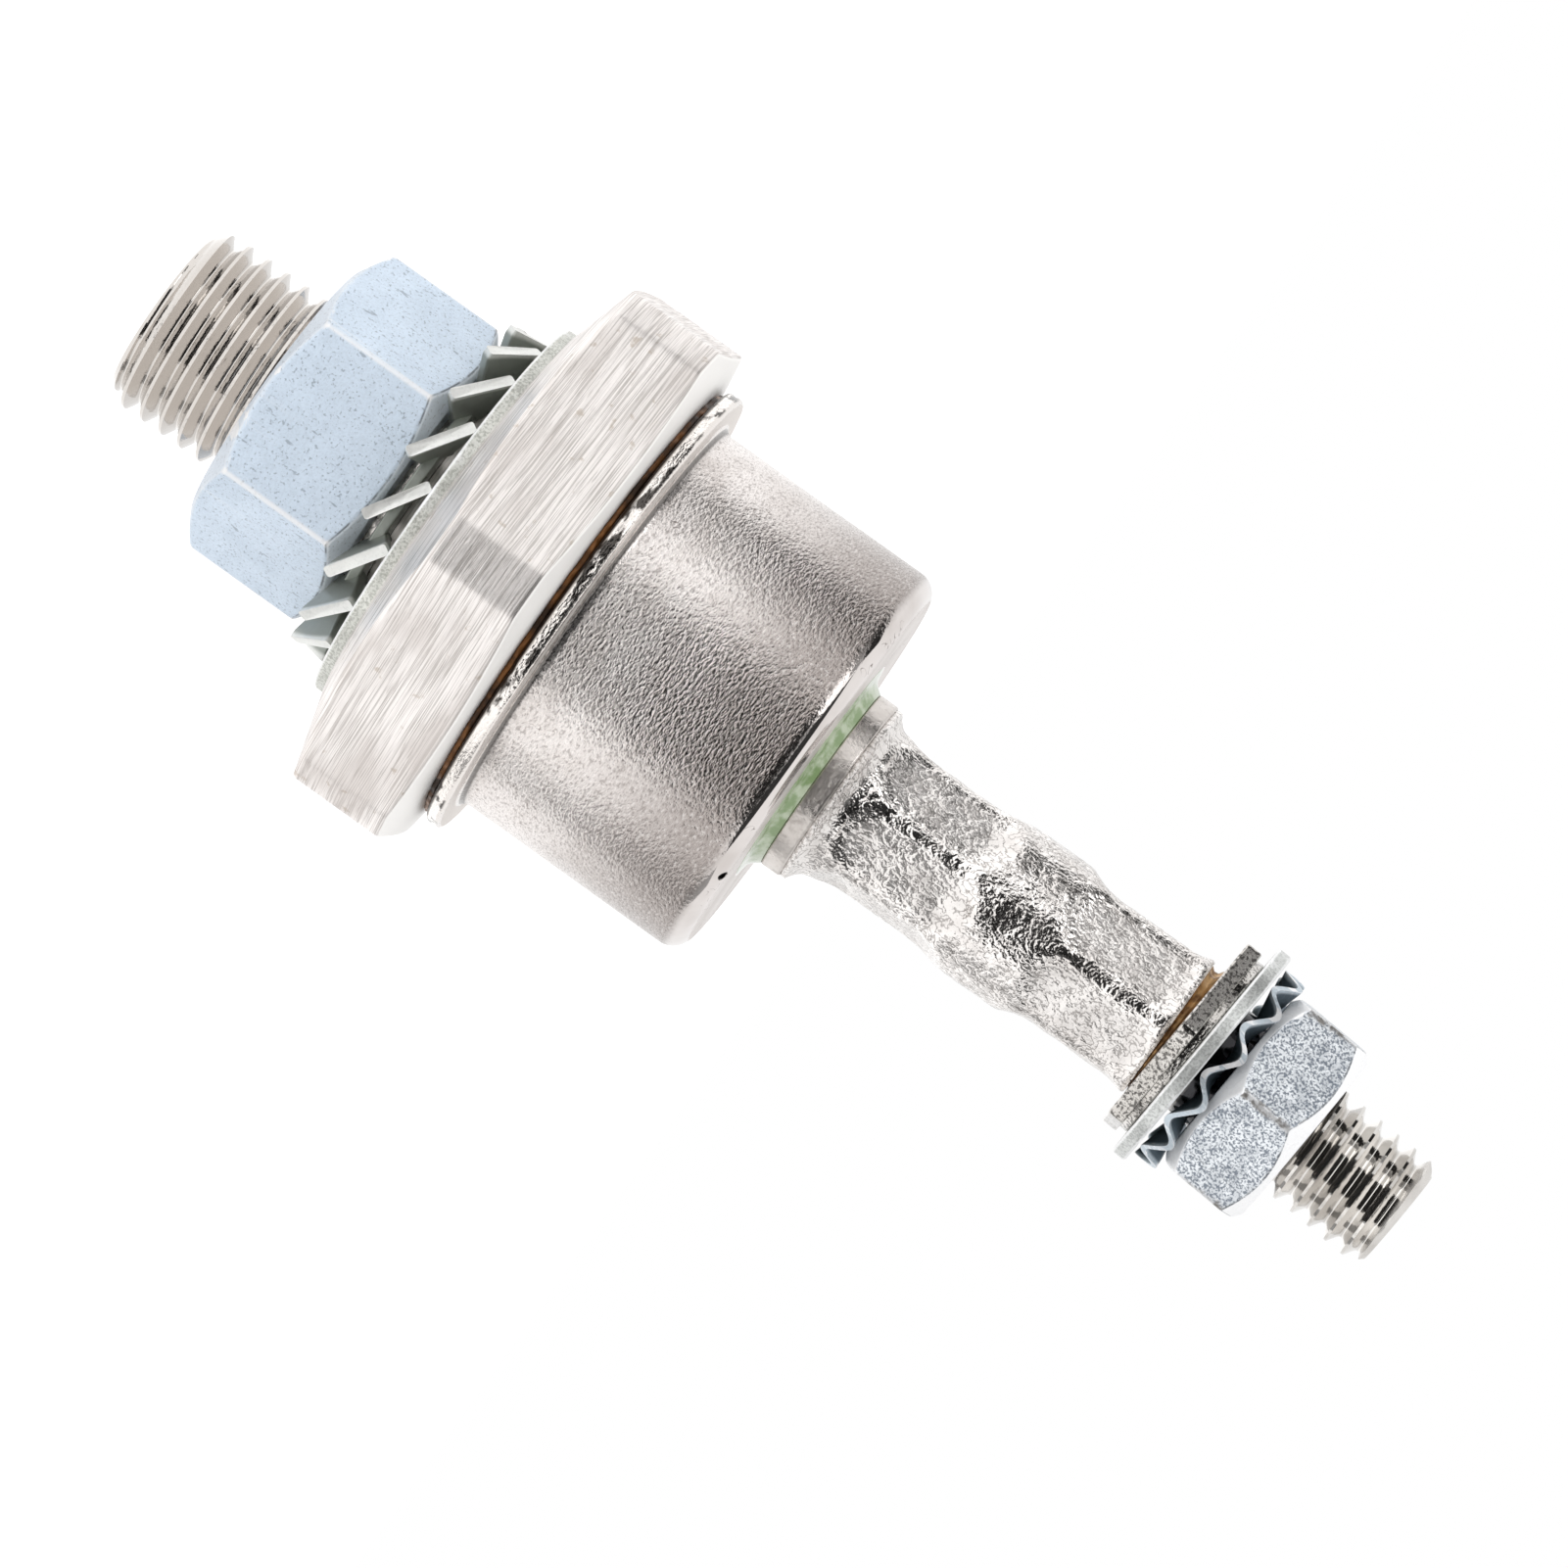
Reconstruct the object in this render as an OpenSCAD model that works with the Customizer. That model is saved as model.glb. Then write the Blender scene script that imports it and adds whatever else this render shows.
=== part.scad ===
// Stud diode: hex base with a threaded mounting stud, welded can with a glass seal,
// crimped sleeve and threaded terminal stud, with the fixing hardware on both studs.
// Millimetres. Z runs along the axis, up to the terminal. Z = 0 is the seat of the hex base.

/* [Mounting stud] */
// Outer diameter of the mounting thread
stud_d = 9.5; // [8:0.1:12]
// Pitch of the mounting thread
stud_pitch = 1.058; // [0.8:0.01:1.5]
// Length of the stud below the seat
stud_len = 16.5; // [16:0.1:24]
// Chamfer at the stud tip
stud_tip = 0.7; // [0.3:0.1:1.2]

/* [Hex base] */
// Width across flats
base_af = 27; // [25.5:0.1:30]
// Diameter the hex corners are turned down to
base_round_d = 29.9; // [28:0.1:31]
// Height of the hex
base_h = 6.7; // [5:0.1:10]
// Diameter of the flat seat inside the lower chamfer
seat_d = 21.2; // [20.6:0.1:25]
// Diameter of the flat top inside the upper chamfer
base_top_d = 22.9; // [22.8:0.1:25.4]
// Slope of the chamfer on the seat side, degrees
seat_chamfer = 17; // [10:1:25]
// Slope of the chamfer on the can side, degrees
top_chamfer = 9.5; // [5:0.5:15]
// Turn of the hex about the axis, degrees
base_turn = 4; // [-30:0.5:30]
// Diameter of the pedestal inside the can
pedestal_d = 16; // [15:0.1:17]
// Height of the pedestal above the hex
pedestal_h = 0.9; // [0.5:0.1:2]

/* [Stud hardware] */
// Thickness of the plain washer
washer_t = 0.7; // [0.5:0.05:1.6]
// Outer diameter of the plain washer
washer_od = 20.2; // [18:0.1:22]
// Outer diameter over the lock washer teeth
tooth_od = 17.9; // [16:0.1:19]
// Number of lock washer teeth
tooth_n = 16; // [12:1:18]
// Width of a tooth at its outer edge
tooth_w = 3.35; // [2.4:0.05:3.5]
// Width of a tooth at its root
tooth_root_w = 1.7; // [1.4:0.05:1.9]
// Thickness of the lock washer
tooth_t = 0.55; // [0.4:0.05:1]
// Twist of each tooth, degrees
tooth_twist = 32; // [25:1:40]
// Turn of the teeth about the axis, degrees
tooth_turn = 6; // [0:0.5:22.5]
// Radial width of the lock washer ring
lock_ring_w = 1.9; // [1.5:0.05:2.2]
// Radial gap between the washers and the stud
washer_gap = 0.25; // [0.1:0.05:0.5]
// Nut width across flats
nut_af = 14.29; // [14:0.01:18]
// Nut height
nut_h = 7.5; // [5:0.1:8.3]
// Turn of the nut about the axis, degrees
nut_turn = 32.5; // [0:0.5:60]

/* [Can] */
// Thickness of the weld ring
weld_t = 0.3; // [0.2:0.05:0.8]
// Outer diameter of the weld ring
weld_d = 23.4; // [22:0.1:23.6]
// Outer diameter of the can flange
flange_d = 24.2; // [23.8:0.1:26]
// Thickness of the can flange
flange_t = 0.8; // [0.7:0.05:1.6]
// Outer diameter of the can
can_d = 20.8; // [20:0.1:22]
// Height of the can, flange included
can_h = 13.15; // [12.5:0.05:18]
// Side wall thickness of the can
can_wall = 0.7; // [0.5:0.05:1]
// Top wall thickness of the can
can_top_t = 1; // [0.8:0.05:1.4]
// Radius of the can shoulder
shoulder_r = 1.1; // [0.8:0.05:1.8]
// Radius of the fillet between can and flange
flange_fillet = 0.5; // [0.2:0.05:0.7]
// Diameter of the small pit on the shoulder
pit_d = 0.5; // [0.2:0.05:0.8]
// Turn of the pit about the axis, degrees
pit_turn = 39; // [0:1:360]

/* [Glass seal] */
// Outer diameter of the glass
glass_d = 11.6; // [11:0.1:13]
// Height of the glass above the can top
glass_rise = 0.6; // [0.2:0.05:0.9]
// Depth of the glass below the can top wall
glass_drop = 0.6; // [0.3:0.05:1]
// Outer diameter of the eyelet collar
collar_d = 9.5; // [9.2:0.1:10.4]
// Height of the eyelet collar
collar_h = 1.05; // [0.7:0.05:1.6]
// Outer diameter of the eyelet tube in the glass
eyelet_d = 7.2; // [6.8:0.1:7.8]
// Radial gap between the inner lead and the eyelet
eyelet_gap = 0.25; // [0.1:0.05:0.5]

/* [Sleeve] */
// Outer diameter of the sleeve where it is not crimped
sleeve_d = 7.93; // [7.6:0.01:8.4]
// Length of the sleeve
sleeve_len = 18.6; // [18.4:0.1:22]
// Diameter of the flared foot on the collar
foot_d = 9.35; // [9:0.05:9.6]
// Height of the flared foot, run-out included
foot_h = 1.2; // [0.9:0.05:1.4]
// Width across flats of the lower crimp
crimp_lower_af = 6.85; // [6.7:0.01:7.3]
// Width across flats of the upper crimp
crimp_upper_af = 6.88; // [6.7:0.01:7.3]
// Length of the flats of the lower crimp
crimp_lower_len = 3.75; // [2.5:0.05:4]
// Length of the flats of the upper crimp
crimp_upper_len = 3.8; // [2.5:0.05:4]
// Start of the lower flats above the collar
crimp_lower_at = 2.8; // [2.6:0.1:3.1]
// Distance of the upper flats from the sleeve end
crimp_upper_at = 1.4; // [1.2:0.1:1.8]
// Run-out radius at the ends of the flats
crimp_run = 3.2; // [2.5:0.1:4]
// Diameter that the ridges between the flats are pressed down to
crimp_ridge_d = 7.6; // [7.4:0.05:7.9]
// Length of the run-out at the ends of the ridges
ridge_run = 0.8; // [0.4:0.1:1.2]
// Turn of the lower flats about the axis, degrees
crimp_lower_turn = -10; // [-30:0.5:30]
// Turn of the upper flats about the axis, degrees
crimp_upper_turn = -1; // [-30:0.5:30]
// Diameter of the hollow in the bulge
bulge_bore = 5.8; // [5.2:0.1:6.2]

/* [Terminal] */
// Outer diameter of the terminal thread
term_d = 5.9; // [5.6:0.1:6.4]
// Pitch of the terminal thread
term_pitch = 1; // [0.8:0.05:1.2]
// Length of free thread beyond the nut
term_free = 5.6; // [4:0.1:12]
// Chamfer at the terminal tip
term_tip = 0.5; // [0.3:0.05:0.8]
// Lean of the terminal from the axis, degrees
term_tilt = 4.2; // [0:0.1:6]
// Width across flats of the hex flange
hex_af = 10.05; // [9.6:0.05:11]
// Thickness of the hex flange
hex_t = 1.25; // [0.8:0.05:2]
// Diameter of the round step on the hex flange
step_d = 9.9; // [9:0.05:10]
// Height of the round step, within the thickness
step_t = 0.42; // [0.2:0.02:0.6]
// Turn of the hex flange, degrees
hex_turn = -5; // [-30:0.5:30]
// Diameter of the shank in the sleeve
shank_d = 4.6; // [4:0.1:4.8]
// Length of the shank in the sleeve
shank_len = 5.8; // [4.5:0.1:6]
// Gap between the sleeve and the hex flange on the side it leans to
braze_h = 0.04; // [0.02:0.01:0.3]
// Outer diameter of the braze
braze_d = 6.5; // [6:0.1:6.8]
// Thickness of the plain washer
term_washer_t = 0.75; // [0.5:0.05:1.2]
// Outer diameter of the plain washer
term_washer_od = 12.05; // [11:0.05:13]
// Outer diameter of the wavy lock washer
wave_od = 10.9; // [10:0.1:11.6]
// Number of waves
wave_n = 12; // [8:1:14]
// Full height of the wavy lock washer
wave_h = 1.45; // [1:0.05:1.8]
// Thickness of the wavy lock washer
wave_t = 0.32; // [0.26:0.02:0.5]
// Turn of the wavy lock washer, degrees
wave_turn = 7.5; // [0:0.5:30]
// Nut width across flats
term_nut_af = 9.75; // [9.5:0.05:11]
// Nut height
term_nut_h = 4.5; // [3:0.05:6]
// Turn of the nut, degrees
term_nut_turn = 1.5; // [-30:0.5:30]

/* [Inside] */
// Diameter of the lower disc
lower_disc_d = 14.4; // [13.8:0.1:14.8]
// Thickness of the lower disc
lower_disc_t = 1; // [0.6:0.05:1.4]
// Diameter of the silicon die
die_d = 12.6; // [11:0.1:13.4]
// Thickness of the silicon die
die_t = 0.36; // [0.25:0.01:0.5]
// Diameter of the upper disc
upper_disc_d = 9.6; // [9.2:0.1:10.4]
// Thickness of the upper disc
upper_disc_t = 0.7; // [0.5:0.05:1]
// Thickness of each solder layer
solder_t = 0.12; // [0.08:0.01:0.2]
// Height of the coating over the disc edge
coating_t = 0.3; // [0.2:0.05:0.4]
// Outer diameter of the contact cup foot
cup_foot_d = 9; // [8.6:0.1:9.1]
// Height of the contact cup foot
cup_foot_t = 0.9; // [0.6:0.05:1.2]
// Outer diameter of the contact cup socket
cup_d = 6.4; // [6:0.1:7]
// Depth of the contact cup socket
cup_depth = 3; // [2:0.1:3.5]
// Diameter of the stranded lead
lead_d = 4.7; // [4:0.1:5]
// Length of the lead inside the sleeve
lead_in = 8; // [7:0.1:8.5]

/* [Hidden] */
$fn = 96;
// Clearance between a nut and the thread it sits on
thread_gap = 0.02;
// Small overshoot of cutting shapes
e = 0.05;
// Share of the half width that the flat face of each nut reaches
nut_face = 0.95;
term_nut_face = 0.92;
// Slope of the chamfers of each nut, degrees
nut_slope = 30;
term_nut_slope = 38;
// Depth of the countersink at both ends of a nut's bore
nut_sink = 0.35;
// Depth to which a tooth's root runs into its ring
tooth_lap = 0.35;
// Length of a tooth's full-width tip
tooth_tip = 0.5;
// Width of the flat rim at the bore of the wavy washer
wave_rim = 0.5;
// Share of the full wave at the inner end of the waved part
wave_start = 0.25;
// Radial gap between the pedestal and the weld ring
weld_gap = 0.2;
// Rounding of the can flange edge
flange_round = 0.25;
// Length of the eyelet tube below the glass
eyelet_tail = 0.8;
// Chamfer at the upper end of the sleeve
sleeve_edge = 0.15;

// Radius of a thread where its nut is engaged
stud_pitch_r = stud_d / 2 - 0.325 * stud_pitch;
term_pitch_r = term_d / 2 - 0.325 * term_pitch;

// Stud hardware, downwards from the seat
function blade_h(w) = w * sin(tooth_twist) + tooth_t * cos(tooth_twist);
washer_r = stud_d / 2 + washer_gap;
tooth_from = washer_r + lock_ring_w - tooth_lap;
tooth_full = tooth_od / 2 - tooth_tip;
nut_on_tooth = min(max(nut_af / 2 * nut_face, tooth_from), tooth_full);
seat_w = tooth_root_w + (tooth_w - tooth_root_w) * (nut_on_tooth - tooth_from) / (tooth_full - tooth_from);
washer_z = -washer_t;
lock_z = washer_z - blade_h(tooth_w) / 2;
nut_z = lock_z - blade_h(seat_w) / 2 - nut_h;

// Body, upwards from the seat
weld_z = base_h;
flange_z = weld_z + weld_t;
can_z = flange_z + can_h;
glass_z = can_z + glass_rise;
collar_z = glass_z + collar_h;
lead_bore = lead_d / 2 + eyelet_gap;

// Stack inside the can, upwards from the pedestal
stack_z = base_h + pedestal_h;
lower_disc_z = stack_z + solder_t;
die_z = lower_disc_z + lower_disc_t;
upper_disc_z = die_z + die_t;
upper_solder_z = upper_disc_z + upper_disc_t;
cup_z = upper_solder_z + solder_t;
lead_z = cup_z + cup_foot_t;

// Sleeve and terminal
sleeve_z = collar_z + sleeve_len;
crimp_lower_z = collar_z + crimp_lower_at;
crimp_upper_z = sleeve_z - crimp_upper_at - crimp_upper_len;
lean_rise = (sleeve_d / 2 - sleeve_edge) * tan(term_tilt);
hex_z = sleeve_z + braze_h + lean_rise;
term_washer_r = term_d / 2 + washer_gap;
wave_amp = (wave_h - wave_t) / 2;
wave_from = term_washer_r + wave_rim;
nut_on_wave = min(term_nut_af / 2 * term_nut_face, wave_od / 2);
seat_amp = wave_start + (1 - wave_start) * (nut_on_wave - wave_from) / (wave_od / 2 - wave_from);
term_washer_z = hex_t;
wave_z = term_washer_z + term_washer_t + wave_h / 2;
term_nut_z = wave_z + wave_t / 2 + wave_amp * seat_amp;
term_end = term_nut_z + term_nut_h + term_free;

// Ring between two radii
module ring(r_out, r_in, h) {
    difference() {
        cylinder(r = r_out, h = h);
        translate([0, 0, -e])
            cylinder(r = r_in, h = h + 2 * e);
    }
}

// Hexagonal bar with a corner towards the front
module hex_bar(af, h, turn) {
    rotate([0, 0, turn - 90])
        cylinder(d = af / cos(30), h = h, $fn = 6);
}

// Frame of the leaning terminal, from the foot of its hex flange
module on_terminal() {
    translate([0, 0, hex_z])
        rotate([0, term_tilt, 0])
            children();
}

// Hexagonal bar with its corners chamfered at both ends
module chamfered_hex(af, h, turn, share, slope) {
    face = af / 2 * share;
    r = af / 2 / cos(30) + e;
    rise = (r - face) * tan(slope);
    intersection() {
        hex_bar(af, h, turn);
        rotate_extrude()
            polygon([[0, 0], [face, 0], [r, rise], [r, h - rise], [face, h], [0, h]]);
    }
}

// Nut with chamfered corners and a bore at the thread's mean diameter
module plain_nut(af, h, turn, bore_r, share, slope) {
    sink = nut_sink + e;
    difference() {
        chamfered_hex(af, h, turn, share, slope);
        translate([0, 0, -e])
            cylinder(r = bore_r, h = h + 2 * e);
        translate([0, 0, -e])
            cylinder(r1 = bore_r + sink, r2 = bore_r, h = sink);
        translate([0, 0, h - nut_sink])
            cylinder(r1 = bore_r, r2 = bore_r + sink, h = sink);
    }
}

// Hex base and mounting stud
module stud_base() {
    r = base_round_d / 2;
    low = (r - seat_d / 2) * tan(seat_chamfer);
    high = base_h - (r - base_top_d / 2) * tan(top_chamfer);
    color("silver") {
        intersection() {
            hex_bar(base_af, base_h, base_turn);
            rotate_extrude()
                polygon([[0, 0], [seat_d / 2, 0], [r, low], [r, high], [base_top_d / 2, base_h],
                    [0, base_h]]);
        }
        translate([0, 0, base_h - e])
            cylinder(d = pedestal_d, h = pedestal_h + e);
        translate([0, 0, nut_z + nut_h])
            cylinder(d = stud_d, h = -nut_z - nut_h + e);
        translate([0, 0, nut_z - e])
            cylinder(r = stud_pitch_r, h = nut_h + 2 * e);
        translate([0, 0, stud_tip - stud_len])
            cylinder(d = stud_d, h = nut_z + stud_len - stud_tip);
        translate([0, 0, -stud_len])
            cylinder(d1 = stud_d - 2 * stud_tip, d2 = stud_d, h = stud_tip);
    }
}

// Plain washer against the seat
module stud_washer() {
    color("gainsboro")
        translate([0, 0, washer_z])
            ring(washer_od / 2, washer_r, washer_t);
}

// One tooth of the lock washer, a flat blade twisted about its own length
module tooth() {
    out = tooth_od / 2 + tooth_tip;
    rotate([-tooth_twist, 0, 0])
        translate([0, 0, -tooth_t / 2])
            linear_extrude(height = tooth_t)
                polygon([[tooth_from, -tooth_root_w / 2], [tooth_full, -tooth_w / 2], [out, -tooth_w / 2],
                    [out, tooth_w / 2], [tooth_full, tooth_w / 2], [tooth_from, tooth_root_w / 2]]);
}

// Lock washer with twisted outer teeth
module stud_lock_washer() {
    color("darkgray")
        translate([0, 0, lock_z]) {
            translate([0, 0, -tooth_t / 2])
                ring(washer_r + lock_ring_w, washer_r, tooth_t);
            intersection() {
                for (i = [0 : tooth_n - 1])
                    rotate([0, 0, tooth_turn + i * 360 / tooth_n - 90])
                        tooth();
                translate([0, 0, -blade_h(tooth_w)])
                    cylinder(d = tooth_od, h = 2 * blade_h(tooth_w));
            }
        }
}

// Hex nut on the mounting stud, a flat towards the front
module stud_nut() {
    color("lightsteelblue")
        translate([0, 0, nut_z])
            plain_nut(nut_af, nut_h, nut_turn, stud_pitch_r + thread_gap, nut_face, nut_slope);
}

// Ring the can is welded down on
module weld_ring() {
    color("saddlebrown")
        translate([0, 0, weld_z])
            ring(weld_d / 2, pedestal_d / 2 + weld_gap, weld_t);
}

// Outline of the can, from the axis outwards
module can_outline() {
    r = can_d / 2;
    f = flange_fillet;
    rim = flange_d / 2 - flange_round;
    square([r - shoulder_r, can_h]);
    square([r, can_h - shoulder_r]);
    translate([r - shoulder_r, can_h - shoulder_r])
        circle(r = shoulder_r);
    square([rim, flange_t]);
    translate([0, flange_round])
        square([flange_d / 2, flange_t - 2 * flange_round]);
    for (y = [flange_round, flange_t - flange_round])
        translate([rim, y])
            circle(r = flange_round);
    difference() {
        translate([r - f, flange_t - f])
            square([2 * f, 2 * f]);
        translate([r + f, flange_t + f])
            circle(r = f);
    }
}

// Drawn can with its flange, hollow, with a hole for the glass
module can() {
    inner = can_d / 2 - can_wall;
    color("silver")
        difference() {
            translate([0, 0, flange_z])
                rotate_extrude()
                    can_outline();
            translate([0, 0, flange_z - e])
                cylinder(r = inner, h = can_h - can_top_t + e);
            translate([0, 0, flange_z])
                cylinder(d = glass_d, h = can_h + e);
            rotate([0, 0, pit_turn - 90])
                translate([can_d / 2 - shoulder_r * 0.55, 0, can_z - shoulder_r * 0.1])
                    sphere(d = pit_d);
        }
}

// Glass ring, domed up to the collar
module glass_seal() {
    low = can_z - can_top_t - glass_drop;
    color("darkseagreen")
        difference() {
            union() {
                translate([0, 0, low])
                    cylinder(d = glass_d, h = can_z - low);
                translate([0, 0, can_z - e])
                    cylinder(d1 = glass_d, d2 = collar_d, h = glass_rise + e);
            }
            translate([0, 0, low - e])
                cylinder(d = eyelet_d, h = glass_z - low + 2 * e);
        }
}

// Tube and collar held by the glass
module eyelet() {
    low = can_z - can_top_t - glass_drop - eyelet_tail;
    color("gainsboro")
        difference() {
            union() {
                translate([0, 0, low])
                    cylinder(d = eyelet_d, h = glass_z - low + e);
                translate([0, 0, glass_z])
                    cylinder(d = collar_d, h = collar_h);
            }
            translate([0, 0, low - e])
                cylinder(r = lead_bore, h = collar_z - low + 2 * e);
        }
}

// One flat of a crimp with a curved run-out at both ends
module crimp_flat(r, len) {
    translate([r, -sleeve_d / 2, 0])
        cube([sleeve_d / 2, sleeve_d, len]);
    for (z = [0, len])
        translate([r + crimp_run, 0, z])
            rotate([90, 0, 0])
                cylinder(r = crimp_run, h = sleeve_d, center = true);
}

// Cut that presses the ridges down, with sloped run-outs
module crimp_ridges(len) {
    r = crimp_ridge_d / 2;
    out = sleeve_d / 2 + e;
    rotate_extrude()
        polygon([[r, 0], [out, -ridge_run], [out, len + ridge_run], [r, len]]);
}

// Six crimp flats around the sleeve
module crimp(af, len, z, turn) {
    translate([0, 0, z])
        rotate([0, 0, turn]) {
            for (i = [0 : 5])
                rotate([0, 0, i * 60])
                    crimp_flat(af / 2, len);
            crimp_ridges(len);
        }
}

// Outside of the sleeve before it is crimped, with the flared foot
module sleeve_blank() {
    r = sleeve_d / 2;
    f = foot_d / 2 - r;
    top = sleeve_len;
    rotate_extrude()
        polygon([[0, 0], [r + f, 0], [r + f, foot_h * 0.22], [r + f * 0.72, foot_h * 0.3],
            [r + f * 0.38, foot_h * 0.45], [r + f * 0.15, foot_h * 0.68], [r, foot_h],
            [r, top - sleeve_edge], [r - sleeve_edge, top], [0, top]]);
}

// Copper sleeve, crimped on the lead and on the terminal shank
module sleeve() {
    color("gainsboro")
        difference() {
            translate([0, 0, collar_z])
                sleeve_blank();
            translate([0, 0, collar_z - e])
                cylinder(d = lead_d, h = lead_in + 2 * e);
            translate([0, 0, collar_z + lead_in])
                cylinder(d = bulge_bore, h = sleeve_len - lead_in - shank_len);
            translate([0, 0, sleeve_z - shank_len - e])
                cylinder(d = shank_d, h = shank_len + 2 * e);
            crimp(crimp_lower_af, crimp_lower_len, crimp_lower_z, crimp_lower_turn);
            crimp(crimp_upper_af, crimp_upper_len, crimp_upper_z, crimp_upper_turn);
        }
}

// Braze between the sleeve end and the leaning hex flange
module sleeve_braze() {
    color("sienna")
        difference() {
            translate([0, 0, sleeve_z])
                ring(braze_d / 2, shank_d / 2, hex_z - sleeve_z + hex_t);
            on_terminal()
                translate([-braze_d, -braze_d, 0])
                    cube(2 * braze_d);
        }
}

// Terminal stud with its hex flange and the shank in the sleeve
module terminal_stud() {
    top = term_nut_z + term_nut_h;
    color("silver") {
        translate([0, 0, sleeve_z - shank_len])
            cylinder(d = shank_d, h = shank_len + hex_z - sleeve_z + hex_t / 2);
        on_terminal() {
            hex_bar(hex_af, hex_t - step_t, hex_turn);
            cylinder(d = step_d, h = hex_t);
            cylinder(d = term_d, h = term_nut_z);
            translate([0, 0, term_nut_z - e])
                cylinder(r = term_pitch_r, h = term_nut_h + 2 * e);
            translate([0, 0, top])
                cylinder(d = term_d, h = term_free - term_tip);
            translate([0, 0, term_end - term_tip])
                cylinder(d1 = term_d, d2 = term_d - 2 * term_tip, h = term_tip);
        }
    }
}

// Plain washer on the hex flange
module terminal_washer() {
    color("gainsboro")
        on_terminal()
            translate([0, 0, term_washer_z])
                ring(term_washer_od / 2, term_washer_r, term_washer_t);
}

// Height of the wave at a turn of 0 to 1, with a short rise and a long return
function wave(u) = u < 0.375 ? u / 0.375 * 2 - 1 : 1 - (u - 0.375) / 0.625 * 2;

// Wavy lock washer, flat at its bore and waved at its rim
module terminal_lock_washer() {
    per = 8;
    n = wave_n * per;
    radii = [term_washer_r, wave_from, wave_od / 2];
    swing = [0, wave_start, 1];
    pts = [for (side = [-1, 1]) for (k = [0 : 2]) for (i = [0 : n - 1])
        [radii[k] * cos(i * 360 / n), radii[k] * sin(i * 360 / n),
            side * wave_t / 2 + wave_amp * swing[k] * wave((i % per) / per)]];
    low = [for (k = [0 : 1]) for (i = [0 : n - 1])
        [k * n + i, k * n + (i + 1) % n, (k + 1) * n + (i + 1) % n, (k + 1) * n + i]];
    high = [for (f = low)
        [f[3] + 3 * n, f[2] + 3 * n, f[1] + 3 * n, f[0] + 3 * n]];
    inner = [for (i = [0 : n - 1])
        [i, 3 * n + i, 3 * n + (i + 1) % n, (i + 1) % n]];
    outer = [for (i = [0 : n - 1])
        [2 * n + (i + 1) % n, 5 * n + (i + 1) % n, 5 * n + i, 2 * n + i]];
    quads = concat(low, high, inner, outer);
    tris = [for (f = quads) for (t = [0, 1]) t == 0 ? [f[0], f[1], f[2]] : [f[0], f[2], f[3]]];
    color("lightsteelblue")
        on_terminal()
            translate([0, 0, wave_z])
                rotate([0, 0, wave_turn])
                    polyhedron(points = pts, faces = tris);
}

// Hex nut on the terminal, a corner towards the front
module terminal_nut() {
    color("lightsteelblue")
        on_terminal()
            translate([0, 0, term_nut_z])
                plain_nut(term_nut_af, term_nut_h, term_nut_turn, term_pitch_r + thread_gap,
                    term_nut_face, term_nut_slope);
}

// Solder layer on the pedestal
module lower_solder() {
    color("lightgray")
        translate([0, 0, stack_z])
            cylinder(d = lower_disc_d, h = solder_t);
}

// Disc under the die
module lower_disc() {
    color("slategray")
        translate([0, 0, lower_disc_z])
            cylinder(d = lower_disc_d, h = lower_disc_t);
}

// Silicon wafer with the junction
module silicon_die() {
    color("dimgray")
        translate([0, 0, die_z])
            cylinder(d = die_d, h = die_t);
}

// Coating over the rim of the die, up the side of the upper disc
module junction_coating() {
    color("whitesmoke")
        translate([0, 0, die_z])
            difference() {
                cylinder(d1 = lower_disc_d, d2 = die_d, h = die_t + coating_t);
                translate([0, 0, -e])
                    cylinder(d = die_d, h = die_t + e);
                translate([0, 0, die_t - e])
                    cylinder(d = upper_disc_d, h = coating_t + 2 * e);
            }
}

// Disc on the die
module upper_disc() {
    color("slategray")
        translate([0, 0, upper_disc_z])
            cylinder(d = upper_disc_d, h = upper_disc_t);
}

// Solder layer under the contact cup
module upper_solder() {
    color("lightgray")
        translate([0, 0, upper_solder_z])
            cylinder(d = cup_foot_d, h = solder_t);
}

// Copper cup that takes the end of the lead
module contact_cup() {
    color("peru")
        translate([0, 0, cup_z]) {
            cylinder(d = cup_foot_d, h = cup_foot_t);
            translate([0, 0, cup_foot_t - e])
                ring(cup_d / 2, lead_d / 2, cup_depth + e);
        }
}

// Stranded lead from the cup into the sleeve
module inner_lead() {
    color("peru")
        translate([0, 0, lead_z])
            cylinder(d = lead_d, h = collar_z + lead_in - lead_z);
}

stud_base();
stud_washer();
stud_lock_washer();
stud_nut();
weld_ring();
can();
glass_seal();
eyelet();
sleeve();
sleeve_braze();
terminal_stud();
terminal_washer();
terminal_lock_washer();
terminal_nut();
lower_solder();
lower_disc();
silicon_die();
junction_coating();
upper_disc();
upper_solder();
contact_cup();
inner_lead();
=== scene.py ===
"""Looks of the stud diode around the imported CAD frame.

Lengths are millimetres in the CAD frame and scaled by MM when a mesh is made. Angles are degrees,
with 0 along +X and the front of the part at -90.
"""
import math

import bmesh
import bpy
import numpy as np
from mathutils import Matrix, Vector, noise


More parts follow.
